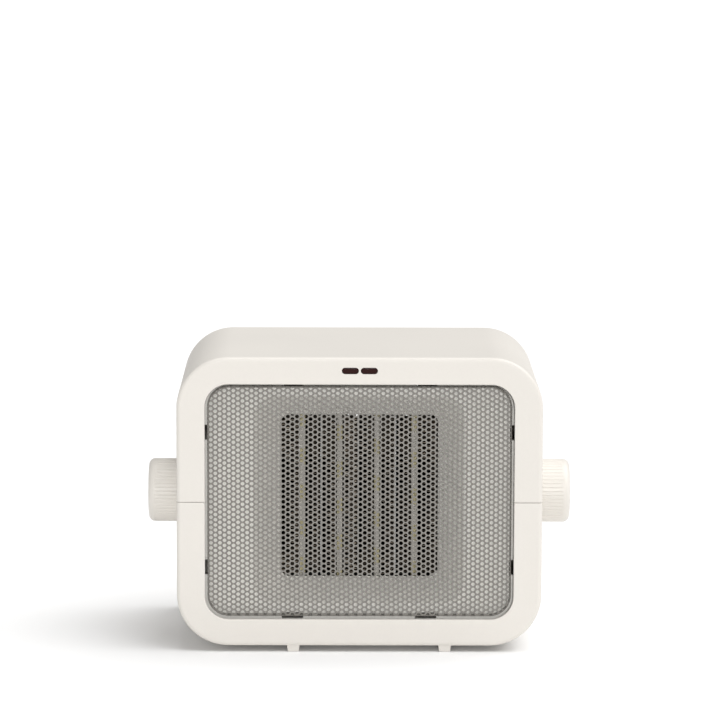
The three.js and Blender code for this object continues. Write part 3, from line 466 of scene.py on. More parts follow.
lower = casing_half("casing_lower", -1)
lower_posts = posts(POST_RADIUS, POST_FOOT, MIDDLE - POST_GAP)
feet = [foot(x, y) for x in FOOT_CENTRES for y in FOOT_FRONTS]
combine(lower, lower_posts + rear_bosses(-1) + feet, "UNION")
well_low, well_high = WELL_SPAN
shoulder = MIDDLE - SHOULDER_DROP
well_profile = [(0, well_low), (WELL_RADIUS, well_low), (WELL_RADIUS, shoulder)]
well_profile += [(SCREW_BORE, shoulder), (SCREW_BORE, well_high), (0, well_high)]
wells = [placed(turned(well_profile, ROD_STEPS), place=(x, y, 0)) for x, y in POST_PLACES]
plunger_hole = placed(rod(PLUNGER_HOLE, *PLUNGER_CUT), place=(*PLUNGER_PLACE, 0))
combine(lower, wells + bush_holes + [plunger_hole], "DIFFERENCE")
for shell, node in ((upper, "upper_shell"), (lower, "lower_shell")):
    painted(shell, casing_plastic)
    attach(shell, "heater")
    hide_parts(node)


# Front grille: a tray of thin steel sheet, perforated in a hexagonal pattern that runs on round its bent
# rim. It is painted warm grey, hemmed at the back, and held by eight tabs that pass through the air guide.
GRILLE_HALF = (99.9, 76.6)
GRILLE_CORNER = 13.9
GRILLE_FRONT = -72.5
GRILLE_SHEET = 0.6
HOLE_SHIFT = (0.6, 0.9)
HOLE_PITCH = 3.435
HOLE_RADIUS = 1.3
HOLE_SIDES = 12
BEND_RADIUS = 1.3
RIM_REACH = 1.9
HEM_FRONT = -71.0
HEM_BACK = -67.0
HEM_SHEET = 0.9
TAB_BACK = -62.0
TAB_ACROSS = (44.0, 12.0)
TAB_UP = (45.0, 8.0)
GRILLE_GREY = (0.19, 0.179, 0.162)


def geometry_group(name, sizes):
    """A Geometry Nodes group with a named input for each of its sizes, and sockets for them by name."""
    group = bpy.data.node_groups.new(name, "GeometryNodeTree")
    group.interface.new_socket("Result", in_out="OUTPUT", socket_type="NodeSocketGeometry")
    for size, kind in {"Base": "Geometry", **sizes, "Material": "Material"}.items():
        group.interface.new_socket(size, in_out="INPUT", socket_type=f"NodeSocket{kind}")
    tree = Tree(group)
    entry = group.nodes.new("NodeGroupInput")
    return tree, {socket.name: Socket(tree, socket) for socket in entry.outputs if socket.name}


def close_group(tree, geometry, named):
    """Ends a group with real geometry in its material."""
    real = tree.node("GeometryNodeRealizeInstances", {}, {"Geometry": geometry})
    painted = tree.node("GeometryNodeSetMaterial", {}, {"Geometry": real, "Material": named["Material"]})
    tree.node("NodeGroupOutput", {}, {"Result": painted})
    return tree.nodes


def grown(base, group, values, sharp=SHARP_ANGLE):
    """Runs a group on an object with its inputs set, and keeps the result as the object's mesh."""
    modifier = base.modifiers.new(group.name, "NODES")
    modifier.node_group = group
    for item in group.interface.items_tree:
        if item.in_out == "INPUT" and item.name in values:
            modifier[item.identifier] = values[item.name]
    return settle(base, modifier, sharp)


def axes(tree, vector=None):
    """The three parts of a vector, or of the place on the piece where none is given."""
    if vector is None:
        vector = tree.node("ShaderNodeTexCoord", output="Object")
    split = tree.node("ShaderNodeSeparateXYZ", {}, {"Vector": vector})
    return [Socket(tree, part) for part in split.source.node.outputs]


def perforated_sheet_group():
    """Flat hexagonal cells in staggered columns, kept inside the rim, thickened and bent back all round."""
    tree, size = geometry_group("perforated sheet", {
        "Cell": "Object", "Pitch": "Float", "Columns": "Int", "Rows": "Int", "Half Width": "Float",
        "Half Height": "Float", "Corner": "Float", "Bend": "Float", "Reach": "Float", "Sheet": "Float",
        "Shift": "Vector",
    })

    def spread(position):
        """How far a point lies outside the line where the bend starts, and which way it lies."""
        x, y, _ = axes(tree, position)
        core = size["Corner"] - size["Bend"]
        over_x = (x.math("ABSOLUTE") - (size["Half Width"] - size["Corner"])).math("MAXIMUM", 0.0)
        over_y = (y.math("ABSOLUTE") - (size["Half Height"] - size["Corner"])).math("MAXIMUM", 0.0)
        length = (over_x * over_x + over_y * over_y).math("SQRT")
        out_x = x.math("SIGN") * over_x / length.math("MAXIMUM", 1e-9)
        out_y = y.math("SIGN") * over_y / length.math("MAXIMUM", 1e-9)
        return (length - core).math("MAXIMUM", 0.0), out_x, out_y

    columns, rows = size["Columns"], size["Rows"]
    column_step = size["Pitch"] * (math.sqrt(3) / 2)
    grid = tree.node("GeometryNodeMeshGrid", {}, {
        "Vertices X": columns, "Vertices Y": rows,
        "Size X": column_step * (columns - 1), "Size Y": size["Pitch"] * (rows - 1),
    })
    index = tree.node("GeometryNodeInputIndex")
    odd = (index / rows).math("FLOOR").math("MODULO", 2.0)
    stagger = tree.node("ShaderNodeCombineXYZ", {}, {"Y": size["Pitch"] * (odd - 0.5) / 2})
    stagger = tree.node("ShaderNodeVectorMath", {"operation": "ADD"}, {0: stagger, 1: size["Shift"]})
    lattice = tree.node("GeometryNodeSetPosition", {}, {"Geometry": grid, "Offset": stagger})
    distance, _, _ = spread(tree.node("GeometryNodeInputPosition"))
    beyond = distance.math("GREATER_THAN", size["Reach"])
    inside = tree.node("GeometryNodeDeleteGeometry", {}, {"Geometry": lattice, "Selection": beyond})
    cell = tree.node("GeometryNodeObjectInfo", {}, {"Object": size["Cell"]}, "Geometry")
    cells = tree.node("GeometryNodeInstanceOnPoints", {}, {"Points": inside, "Instance": cell})
    cells = tree.node("GeometryNodeRealizeInstances", {}, {"Geometry": cells})
    weld = size["Pitch"] * 0.02
    face = tree.node("GeometryNodeMergeByDistance", {}, {"Geometry": cells, "Distance": weld})
    down = tree.node("ShaderNodeCombineXYZ", {}, {"Z": -1.0})
    raised = tree.node("GeometryNodeExtrudeMesh", {}, {
        "Mesh": face, "Offset": down, "Offset Scale": size["Sheet"], "Individual": False,
    })
    back = tree.node("GeometryNodeFlipFaces", {}, {"Mesh": face})
    both = tree.node("GeometryNodeJoinGeometry", {}, {"Geometry": [raised, back]})
    weld = size["Sheet"] * 0.05
    sheet = tree.node("GeometryNodeMergeByDistance", {}, {"Geometry": both, "Distance": weld})
    position = tree.node("GeometryNodeInputPosition")
    distance, out_x, out_y = spread(position)
    _, _, depth = axes(tree, position)
    turn = (distance / size["Bend"]).math("MINIMUM", math.pi / 2)
    straight = distance - turn * size["Bend"]
    reach = (size["Bend"] + depth) * turn.math("SINE") - distance
    drop = (size["Bend"] + depth) * turn.math("COSINE") - size["Bend"] - depth - straight
    shift = tree.node("ShaderNodeCombineXYZ", {}, {"X": out_x * reach, "Y": out_y * reach, "Z": drop})
    bent = tree.node("GeometryNodeSetPosition", {}, {"Geometry": sheet, "Offset": shift})
    return close_group(tree, bent, size)


def hexagon_cell(pitch, hole, sides):
    """The sheet between a hexagon and the round hole in its middle, flat, facing up."""
    body = bmesh.new()
    outer = [body.verts.new((x, y, 0)) for x, y in arc((0, 0), pitch / math.sqrt(3), 0, 360, 6)[:-1]]
    rim = [body.verts.new((x, y, 0)) for x, y in arc((0, 0), hole, 0, 360, sides)[:-1]]
    share = sides // 6
    for corner in range(6):
        near, far = outer[corner], outer[(corner + 1) % 6]
        run = [rim[(corner * share + step) % sides] for step in range(share + 1)]
        middle = share // 2
        for step in range(share):
            body.faces.new((near if step < middle else far, run[step + 1], run[step]))
        body.faces.new((near, far, run[middle]))
    bmesh.ops.recalc_face_normals(body, faces=body.faces)
    if body.faces[0].normal.z < 0:
        bmesh.ops.reverse_faces(body, faces=body.faces)
    return body


def rounded_outline(half, corner):
    """A whole rounded rectangle in X and Z, about the casing's middle."""
    x, z = half[0] - corner, half[1] - corner
    points = []
    for quarter, (right, up) in enumerate([(1, 1), (-1, 1), (-1, -1), (1, -1)]):
        centre = (right * x, MIDDLE + up * z)
        points += arc(centre, corner, 90 * quarter, 90 * quarter + 90, CORNER_STEPS)
    return points


def framed(sections, along=True):
    """A skin through rounded rectangles given as (half width, half height, corner, y)."""
    rings = []
    for across, up, corner, y in sections:
        rings.append([(x, y, z) for x, z in rounded_outline((across, up), corner)])
    return skin(rings, along=along)


def block(x, y, z):
    """A box between two limits along each axis."""
    rings = [[(a, b, c) for a, b in ((x[0], y[0]), (x[1], y[0]), (x[1], y[1]), (x[0], y[1]))] for c in z]
    return skin(rings)


def tabs(spare, inward, outward, y):
    """Boxes over the grille's tabs: two on each side, at top, bottom, left and right."""
    boxes = []
    half_across, half_up = (length / 2 + spare for _, length in (TAB_ACROSS, TAB_UP))
    for side in (-1, 1):
        for place in (-1, 1):
            x = place * TAB_ACROSS[0]
            edge = sorted(MIDDLE + side * (GRILLE_HALF[1] + away) for away in (-inward, outward))
            boxes.append(block((x - half_across, x + half_across), y, edge))
            z = MIDDLE + place * TAB_UP[0]
            edge = sorted(side * (GRILLE_HALF[0] + away) for away in (-inward, outward))
            boxes.append(block(edge, y, (z - half_up, z + half_up)))
    return boxes


def grille_paint(tree):
    """Baked warm grey paint, slightly thin and rough, with a little orange peel."""
    cloud = noise(tree, 30.0, 3.0)
    peel = noise(tree, 1200.0, 1.0)
    colour = scaled(tree, GRILLE_GREY, 0.92 + cloud * 0.16)
    normal = grained(tree, 0.2, 0.00004, peel)
    return surface(tree, colour, 0.38 + cloud * 0.15, normal, specular=0.5)


grille_steel = finish_material("painted grille steel", grille_paint)
column_pitch = HOLE_PITCH * math.sqrt(3) / 2
cell = piece("cell", hexagon_cell(HOLE_PITCH, HOLE_RADIUS, HOLE_SIDES))
grille = piece("grille_mesh", bmesh.new())
grown(grille, perforated_sheet_group(), {
    "Cell": cell,
    "Pitch": HOLE_PITCH * MM,
    "Columns": 2 * int((GRILLE_HALF[0] + RIM_REACH) / column_pitch) + 3,
    "Rows": 2 * int((GRILLE_HALF[1] + RIM_REACH) / HOLE_PITCH) + 3,
    "Half Width": GRILLE_HALF[0] * MM,
    "Half Height": GRILLE_HALF[1] * MM,
    "Corner": GRILLE_CORNER * MM,
    "Bend": BEND_RADIUS * MM,
    "Reach": (BEND_RADIUS + RIM_REACH) * MM,
    "Sheet": GRILLE_SHEET * MM,
    "Shift": (HOLE_SHIFT[0] * MM, HOLE_SHIFT[1] * MM, 0.0),
    "Material": grille_steel,
})
upright = Matrix.Translation((0, GRILLE_FRONT * MM, MIDDLE * MM)) @ Matrix.Rotation(math.pi / 2, 4, "X")
grille.data.transform(upright)
bpy.data.objects.remove(cell)
hem = framed([
    (GRILLE_HALF[0] - across, GRILLE_HALF[1] - across, GRILLE_CORNER - across, y)
    for across, y in ((0, HEM_FRONT), (0, HEM_BACK), (HEM_SHEET, HEM_BACK), (HEM_SHEET, HEM_FRONT))
])
grille_tabs = tabs(0, GRILLE_SHEET, 0, (HEM_BACK - 0.5, TAB_BACK))
rim = piece("grille_hem", merged([hem] + grille_tabs), grille_steel)
for part in (grille, rim):
    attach(part, "heater")
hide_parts("front_grille")
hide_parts("front_grille")

# Air guide: a pale moulded baffle close behind the grille, which narrows in a funnel to the heating
# element. Slots near its edge take the grille's tabs.
GUIDE_HALF = (105.5, 82.2)
GUIDE_CORNER = 19.5
GUIDE_FRONT = -65.0
GUIDE_BACK = -63.0
MOUTH = (68.0, 68.0, 13.0)
THROAT = (52.0, 54.3, 5.5)
THROAT_Y = -48.0
MOUTH_ROUND = 1.2
FUNNEL_WALL = 1.6
SLOT_SPARE = 1.0
SLOT_INWARD = 1.2
SLOT_OUTWARD = 2.8
GUIDE_PALE = (0.96, 0.937, 0.885)


def guide_plastic(tree):
    """Pale matt moulding, faintly cloudy in tone."""
    cloud = noise(tree, 20.0, 3.0)
    grain = noise(tree, 900.0)
    colour = scaled(tree, GUIDE_PALE, 0.95 + cloud * 0.08)
    normal = grained(tree, 0.2, 0.00005, grain)
    return surface(tree, colour, 0.5 + cloud * 0.15, normal)


baffle_plastic = finish_material("pale baffle plastic", guide_plastic)
guide_sections = [
    (*GUIDE_HALF, GUIDE_CORNER, GUIDE_FRONT),
    (*(size + MOUTH_ROUND for size in MOUTH), GUIDE_FRONT),
    (*MOUTH, GUIDE_FRONT + MOUTH_ROUND),
    (*THROAT, THROAT_Y),
    (*(size + FUNNEL_WALL for size in THROAT), THROAT_Y),
    (*(size + FUNNEL_WALL for size in MOUTH), GUIDE_BACK),
    (*GUIDE_HALF, GUIDE_CORNER, GUIDE_BACK),
]
guide = piece("air_guide_moulding", framed(guide_sections))
combine(guide, tabs(SLOT_SPARE, SLOT_INWARD, SLOT_OUTWARD, (GUIDE_FRONT - 1, GUIDE_BACK + 1)), "DIFFERENCE")
painted(guide, baffle_plastic)
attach(guide, "heater")
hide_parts("air_guide")

# Control knobs: cream mouldings pressed on the spindles, with fine grooves along the grip and a smooth
# round nose. A short pressed-in bar on the end shows which way the knob points.
KNOB_RADIUS = 21.0
KNOB_INNER = 120.5
KNOB_OUTER = 140.0
KNOB_ROUND = 4.0
KNOB_WALL = 2.2
KNOB_RIM = 0.4
KNOB_HUB = 6.0
HUB_END = 124.5
SPINDLE_BORE = 3.05
BORE_END = 134.2
GROOVE_COUNT = 50
GROOVE_STEPS = 10
GROOVE_DEPTH = 0.45
GROOVE_END = 134.8
GROOVE_FADE = 0.35
POINTER_SIZE = (9.0, 1.4)
POINTER_PLACE = 13.0
POINTER_DEPTH = 0.5


def grooved_group():
    """Grooves along a turned grip: points near the full radius sink in where their turn meets a groove."""
    tree, size = geometry_group("grooved grip", {
        "Count": "Int", "Depth": "Float", "Radius": "Float", "End": "Float",
    })
    position = tree.node("GeometryNodeInputPosition")
    x, y, z = axes(tree, position)
    radius = (x * x + y * y).math("SQRT")
    turn = (y.math("ARCTAN2", x) / math.tau + 1.0) * size["Count"]
    wave = turn.math("FRACT") - 0.5
    groove = (1.0 - wave.math("ABSOLUTE") * 5.0).math("MAXIMUM", 0.0).math("MINIMUM", 0.8)
    grip = radius.math("GREATER_THAN", size["Radius"] * 0.999) * z.math("LESS_THAN", size["End"])
    sink = groove * grip * size["Depth"] / radius.math("MAXIMUM", 1e-6) * -1.0
    shift = tree.node("ShaderNodeCombineXYZ", {}, {"X": x * sink, "Y": y * sink})
    grooved = tree.node("GeometryNodeSetPosition", {}, {"Geometry": size["Base"], "Offset": shift})
    return close_group(tree, grooved, size)


def knob_profile():
    """From the end face round the nose and grip, into the hollow, to the end of the spindle's bore."""
    profile = [(0, KNOB_OUTER), (KNOB_RADIUS - KNOB_ROUND - FLAT_SUPPORT, KNOB_OUTER)]
    nose = arc((KNOB_RADIUS - KNOB_ROUND, KNOB_OUTER - KNOB_ROUND), KNOB_ROUND, 90, 0)
    profile += nose + [(KNOB_RADIUS, GROOVE_END + GROOVE_FADE), (KNOB_RADIUS, GROOVE_END - GROOVE_FADE)]
    profile += [(KNOB_RADIUS, KNOB_INNER + 2 * KNOB_RIM), (KNOB_RADIUS, KNOB_INNER + KNOB_RIM)]
    profile += [(KNOB_RADIUS - KNOB_RIM, KNOB_INNER)]
    hollow = KNOB_RADIUS - KNOB_WALL
    crown = KNOB_OUTER - KNOB_WALL
    profile += [(hollow, KNOB_INNER), (hollow, KNOB_OUTER - KNOB_ROUND), (hollow - 2, crown)]
    profile += [(KNOB_HUB, crown), (KNOB_HUB, HUB_END), (SPINDLE_BORE, HUB_END)]
    return profile + [(SPINDLE_BORE, BORE_END), (0, BORE_END)]


def knob_plastic(tree):
    """The casing's cream plastic, polished a little brighter by handling."""
    cloud = noise(tree, 40.0, 3.0)
    grain = noise(tree, 1500.0)
    colour = scaled(tree, CREAM, 0.97 + cloud * 0.05)
    normal = grained(tree, 0.12, 0.00005, grain)
    return surface(tree, colour, 0.36 + cloud * 0.12, normal, specular=0.45)


knob_finish = finish_material("cream knob plastic", knob_plastic)
groove_tree = grooved_group()
for name, axis, side in (("selector", "-X", -1), ("thermostat", "X", 1)):
    knob = piece(f"{name}_grip", turned(knob_profile(), GROOVE_COUNT * GROOVE_STEPS))
    grown(knob, groove_tree, {
        "Count": GROOVE_COUNT,
        "Depth": GROOVE_DEPTH * MM,
        "Radius": KNOB_RADIUS * MM,
        "End": GROOVE_END * MM,
        "Material": knob_finish,
    }, sharp=30)
    turn = Matrix.Rotation(side * math.pi / 2, 4, "Y")
    knob.data.transform(Matrix.Translation((0, KNOB_AXIS_Y * MM, MIDDLE * MM)) @ turn)
    bar = pill([(*POINTER_SIZE, KNOB_OUTER - POINTER_DEPTH), (*POINTER_SIZE, KNOB_OUTER + 1)])
    bmesh.ops.translate(bar, vec=(-side * POINTER_PLACE, 0, 0), verts=bar.verts)
    combine(knob, [placed(bar, axis, (0, KNOB_AXIS_Y, MIDDLE))], "DIFFERENCE", sharp=30)
    painted(knob, knob_finish)
    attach(knob, name)
    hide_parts(f"{name}_knob")

# Indicator lenses: two small glossy maroon windows moulded in polycarbonate and set in the front ring.
# Each is lit by a lamp behind it, and the two lamps stand on one small board.
LENS_FRONT = -74.8
LENS_BACK = -70.5
LENS_SHOULDER = -71.7
LENS_FLANGE = 0.5
LENS_ROUND = 0.5
LAMP_SPAN = (-70.2, -68.0)
LAMP_RADIUS = 1.5
LENS_MAROON = (0.020, 0.0022, 0.0016, 1)


def steps_group():
    """Copies of one piece in columns and rows, each a fixed step from the last."""
    tree, size = geometry_group("columns and rows", {
        "Piece": "Object", "Columns": "Int", "Rows": "Int",
        "Start": "Vector", "Column Step": "Vector", "Row Step": "Vector",
    })
    grid = tree.node("GeometryNodeMeshGrid", {}, {
        "Vertices X": size["Columns"], "Vertices Y": size["Rows"],
    })
    index = tree.node("GeometryNodeInputIndex")
    column = (index / size["Rows"] + 0.001).math("FLOOR")
    row = index - column * size["Rows"]
    along = scaled(tree, size["Column Step"], column)
    up = scaled(tree, size["Row Step"], row)
    place = tree.node("ShaderNodeVectorMath", {"operation": "ADD"}, {0: along, 1: up})
    place = tree.node("ShaderNodeVectorMath", {"operation": "ADD"}, {0: place, 1: size["Start"]})
    points = tree.node("GeometryNodeSetPosition", {}, {"Geometry": grid, "Position": place})
    copy = tree.node("GeometryNodeObjectInfo", {}, {"Object": size["Piece"]}, "Geometry")
    copies = tree.node("GeometryNodeInstanceOnPoints", {}, {"Points": points, "Instance": copy})
    return close_group(tree, copies, size)


steps_tree = steps_group()


def repeated(name, body, start, column_step, row_step=(0, 0, 0), columns=2, rows=1, material=None):
    """One object made of copies of a body in columns and rows."""
    pattern = body if isinstance(body, bpy.types.Object) else piece("pattern", body)
    made = piece(name, bmesh.new())
    grown(made, steps_tree, {
        "Piece": pattern,
        "Columns": columns,
        "Rows": rows,
        "Start": tuple(value * MM for value in start),
        "Column Step": tuple(value * MM for value in column_step),
        "Row Step": tuple(value * MM for value in row_step),
        "Material": material,
    })
    bpy.data.objects.remove(pattern)
    return made


def smoked_maroon(tree):
    """Dark red polycarbonate, moulded glossy, with slight waviness."""
    wave = noise(tree, 160.0, 1.0)
    return surface(tree, LENS_MAROON, 0.12 + wave * 0.1, specular=0.15)


def lamp_epoxy(tree):
    """Clear red-tinted epoxy of an indicator lamp."""
    wave = noise(tree, 300.0)
    return surface(tree, (0.35, 0.05, 0.04, 1), 0.15 + wave * 0.1)


def mixed(tree, factor, first, second):
    """The first colour where the factor is 0, and the second where it is 1."""
    sockets = {"Factor_Float": factor, "A_Color": first, "B_Color": second}
    return tree.node("ShaderNodeMix", {"data_type": "RGBA"}, sockets, 2)


def board_resin(tree):
    """Green solder mask over fine copper tracks."""
    place = tree.node("ShaderNodeTexCoord", output="Object")
    track = tree.node("ShaderNodeTexWave", {}, {"Vector": place, "Scale": 120.0, "Distortion": 3.0})
    mask = track.math("GREATER_THAN", 0.8)
    colour = mixed(tree, mask, (0.02, 0.12, 0.05, 1), (0.06, 0.22, 0.09, 1))
    return surface(tree, colour, 0.3 + mask * 0.2)


def lens_body():
    """The window's domed face, and the flange that stops it behind the ring."""
    width, height = LENS_SIZE
    dome = arc((-LENS_ROUND, LENS_FRONT + LENS_ROUND), LENS_ROUND, -90, 0, 4)
    sections = [(width + 2 * inset, height + 2 * inset, y) for inset, y in dome]
    sections += [(width, height, LENS_SHOULDER)]
    sections += [(width + 2 * LENS_FLANGE, height + 2 * LENS_FLANGE, y) for y in (LENS_SHOULDER, LENS_BACK)]
    return placed(pill([(across, up, -y) for across, up, y in sections]), "-Y")


maroon = finish_material("smoked maroon lens", smoked_maroon)
lenses = repeated("lenses", lens_body(), (-LENS_PLACE, 0, LENS_Z), (2 * LENS_PLACE, 0, 0), material=maroon)
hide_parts("indicator_lens_left", "indicator_lens_right")
lamp_profile = [(0, LAMP_SPAN[1]), (LAMP_RADIUS, LAMP_SPAN[1])]
lamp_profile += arc((0, LAMP_SPAN[0] + LAMP_RADIUS), LAMP_RADIUS, 0, -90)
lamps = repeated(
    "lamps", placed(turned(lamp_profile, 24), "Y"), (-LENS_PLACE, 0, LENS_Z), (2 * LENS_PLACE, 0, 0),
    material=finish_material("lamp epoxy", lamp_epoxy),
)
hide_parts("indicator_lamp_left", "indicator_lamp_right")


def refined(node, material, body="heater", edge=0.2):
    """A closer copy of a CAD node, with its outer edges rounded, that stands for it."""
    shape = bmesh.new()
    shape.from_mesh(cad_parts[node].data)
    bmesh.ops.scale(shape, vec=(1 / MM,) * 3, verts=shape.verts)
    bmesh.ops.remove_doubles(shape, verts=shape.verts, dist=1e-3)
    bmesh.ops.dissolve_limit(shape, angle_limit=math.radians(0.5), verts=shape.verts, edges=shape.edges)
    limit = math.radians(SHARP_ANGLE)
    edges = [e for e in shape.edges if e.is_manifold and e.calc_face_angle() > limit]
    bmesh.ops.bevel(
        shape, geom=edges, offset=edge, segments=2, profile=0.5, affect="EDGES", clamp_overlap=True,
    )
    made = piece(f"{node}_piece", shape, material)
    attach(made, body)
    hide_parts(node)
    return made


for glow in (lenses, lamps):
    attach(glow, "heater")
refined("indicator_board", finish_material("indicator board", board_resin), edge=0.15)

# Heating element: four upright bars of ceramic stones wrapped in film, with corrugated aluminium fins glued
# between them, clamped by a frame above and below, inside a folded steel heat shield with a thermal cut-out
# on top.
FIN_Y = (-44.0, -31.0)
FIN_Z = (46.1, 153.9)
FIN_PITCH = 2.45
FIN_SHEET = 0.35
FIN_PACKS = {
    "fin_pack_1": (-52.8, [(-52.3, -39.8)]),
    "fin_pack_2": (-25.3, [(-35.4, -25.8), (-24.8, -15.2)]),
    "fin_pack_3": (-0.7, [(-10.8, -1.2), (-0.2, 9.4)]),
    "fin_pack_4": (23.9, [(13.8, 23.4), (24.4, 34.0)]),
    "fin_pack_5": (52.8, [(38.4, 52.3)]),
}
STRIP_SHEET = 0.8
BAR_PITCH = 24.6
STONE_PITCH = 24.5
FILM_SHARE = 0.42


def bar_film(tree):
    """Ceramic stones under yellow-brown film, which lies between bare grey stretches at uneven heights."""
    x, _, z = axes(tree)
    bar = (x / (BAR_PITCH * MM) + 1.5).math("ROUND")
    cloud = noise(tree, 220.0, 3.0)
    share = (z / (STONE_PITCH * MM) + bar * 0.37 + cloud * 0.12).math("FRACT")
    mask = share.math("LESS_THAN", FILM_SHARE)
    colour = mixed(tree, mask, (0.60, 0.57, 0.52, 1), (0.55, 0.49, 0.29, 1))
    colour = scaled(tree, colour, 0.85 + cloud * 0.3)
    return surface(tree, colour, 0.45 - mask * 0.15)


def ramped(tree, factor, *stops):
    """A colour that runs from stop to stop as the factor grows."""
    return tree.node("ShaderNodeValToRGB", {"stops": stops}, {"Fac": factor})


def fins_with_painted_glints(tree):
    """Thin aluminium, browned by heat and dust, with painted glints flecked at random here and there."""
    cloud = noise(tree, 260.0, 3.0)
    # The brightest stop is painted glints: light flecks that the noise scatters at random over the browned
    # metal.
    stops = [(0.32, (0.13, 0.10, 0.072, 1)), (0.55, (0.36, 0.29, 0.22, 1)), (0.72, (0.72, 0.65, 0.55, 1))]
    colour = ramped(tree, cloud, *stops)
    return surface(tree, colour, 0.6 - cloud * 0.2, metallic=0.2)


def zinc_steel(tree):
    """Zinc-plated steel, faintly cloudy and brushed."""
    cloud = noise(tree, 90.0, 3.0)
    colour = ramped(tree, cloud, (0.3, (0.40, 0.40, 0.40, 1)), (0.7, (0.58, 0.58, 0.57, 1)))
    return surface(tree, colour, 0.30 + cloud * 0.2, metallic=0.9)


def dark_moulding(tree):
    """Heat-proof dark moulding, matt, slightly mottled."""
    cloud = noise(tree, 120.0, 3.0)
    colour = ramped(tree, cloud, (0.3, (0.018, 0.018, 0.019, 1)), (0.7, (0.035, 0.034, 0.034, 1)))
    return surface(tree, colour, 0.42 + cloud * 0.2)


def fold(left, right):
    """One fold of fin: a thin sheet that runs from left to right and back while it climbs one pitch."""
    outline = [(left, 0), (right, FIN_PITCH / 2), (left, FIN_PITCH)]
    outline += [(x, z + FIN_SHEET) for x, z in reversed(outline)]
    return skin([[(x, y, z) for x, z in outline] for y in FIN_Y])


bar_finish = finish_material("film over ceramic stones", bar_film)
fin_finish = finish_material("browned fin aluminium with painted glints", fins_with_painted_glints)
steel_finish = finish_material("zinc plated steel", zinc_steel)
dark_finish = finish_material("dark heat-proof moulding", dark_moulding)
for number in range(1, 5):
    refined(f"ptc_bar_{number}", bar_finish, edge=0.4)
fold_count = int((FIN_Z[1] - FIN_Z[0] - FIN_SHEET) / FIN_PITCH)
for node, (middle, spans) in FIN_PACKS.items():
    for side, (left, right) in enumerate(spans):
        band = repeated(
            f"{node}_band_{side + 1}", fold(left, right), (0, 0, FIN_Z[0]), (0, 0, FIN_PITCH),
            columns=fold_count, material=fin_finish,
        )
        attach(band, "heater")
        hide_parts(node)
    strip_x = (middle - STRIP_SHEET / 2, middle + STRIP_SHEET / 2)
    strip = piece(f"{node}_strip", block(strip_x, (FIN_Y[0] - 0.1, FIN_Y[1]), FIN_Z), steel_finish)
    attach(strip, "heater")
    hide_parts(node)
for node, finish in (
    ("element_frame_top", dark_finish), ("element_frame_bottom", dark_finish),
    ("heat_shield", steel_finish), ("thermal_cutout", steel_finish),
):
    refined(node, finish)

# Fan: a seven-bladed nylon impeller pressed on the motor's shaft. It turns in a moulded shroud whose bridge
# carries the motor.
def grey_nylon(tree):
    """Mid-grey moulded nylon with a fine grain."""
    cloud = noise(tree, 60.0, 3.0)
    grain = noise(tree, 1100.0)
    colour = ramped(tree, cloud, (0.3, (0.27, 0.26, 0.25, 1)), (0.7, (0.33, 0.32, 0.31, 1)))
    normal = grained(tree, 0.15, 0.00005, grain)
    return surface(tree, colour, 0.45 + cloud * 0.15, normal)


nylon_finish = finish_material("grey nylon", grey_nylon)
refined("fan_shroud", nylon_finish)
refined("impeller", nylon_finish, "fan")

# Motor: a shaded-pole motor with a stack of stamped steel laminations and one wound copper coil. Two pressed
# brackets, held by long screws, carry the bearings.
LAMINATION = 0.5


def laminated_steel(tree):
    """A stack of stamped sheets: fine dark seams across the motor's length."""
    _, y, _ = axes(tree)
    seam = (y / (LAMINATION * MM)).math("FRACT").math("LESS_THAN", 0.25)
    cloud = noise(tree, 150.0)
    colour = scaled(tree, (0.36, 0.36, 0.37), (1.0 - seam * 0.5) * (0.85 + cloud * 0.3))
    return surface(tree, colour, 0.4 + seam * 0.3, metallic=0.85)


def copper_coil_with_painted_shade(tree):
    """Enamelled copper wire wound in close turns, under a clear varnish, with painted shade in the creases
    between turns.
    """
    _, _, z = axes(tree)
    turn = (z / (0.4 * MM)).math("FRACT") - 0.5
    groove = turn.math("ABSOLUTE") * 2.0
    # Painted shade: the copper darkens to near black towards the crease between one turn and the next.
    colour = mixed(tree, groove, (0.62, 0.25, 0.10, 1), (0.20, 0.07, 0.03, 1))
    return surface(tree, colour, 0.3 + groove * 0.2, metallic=0.8)


stack_finish = finish_material("laminated steel", laminated_steel)
copper_finish = finish_material("wound copper", copper_coil_with_painted_shade)
for node, finish, body in (
    ("motor_stator", stack_finish, "heater"), ("motor_rotor", stack_finish, "fan"),
    ("motor_coil", copper_finish, "heater"), ("motor_shaft", steel_finish, "fan"),
    ("motor_bracket_front", steel_finish, "heater"), ("motor_bracket_rear", steel_finish, "heater"),
    ("motor_screw_1", steel_finish, "heater"), ("motor_screw_2", steel_finish, "heater"),
):
    refined(node, finish, body, edge=0.15)

# Rear cover: a moulded cream panel set into the casing's rim, with three rows of round-ended slots through
# which the fan draws air.
COVER_HALF = (117.1, 93.1)
COVER_CORNER = 31.1
COVER_SPAN = (68.9, 71.5)
COVER_ROUND = 0.5
COVER_SLOT = (3.4, 38.0)
COVER_SLOT_PITCH = (8.4, 44.0)
COVER_SLOT_COUNT = (15, 3)
COVER_SLOT_ROUND = 0.35
GLAND_PLACE = (75.0, 28.0)
GLAND_HOLE = 6.4
GLAND_CUT = (60.0, 80.0)


def upright_slot():
    """A cutter for one slot, standing up, longer than the cover is thick."""
    radius = COVER_SLOT[0] / 2
    reach = COVER_SLOT[1] / 2 - radius
    outline = arc((0, reach), radius, 0, 180) + arc((0, -reach), radius, 180, 360)
    return skin([[(x, y, z) for x, z in outline] for y in (COVER_SPAN[0] - 1, COVER_SPAN[1] + 1)])


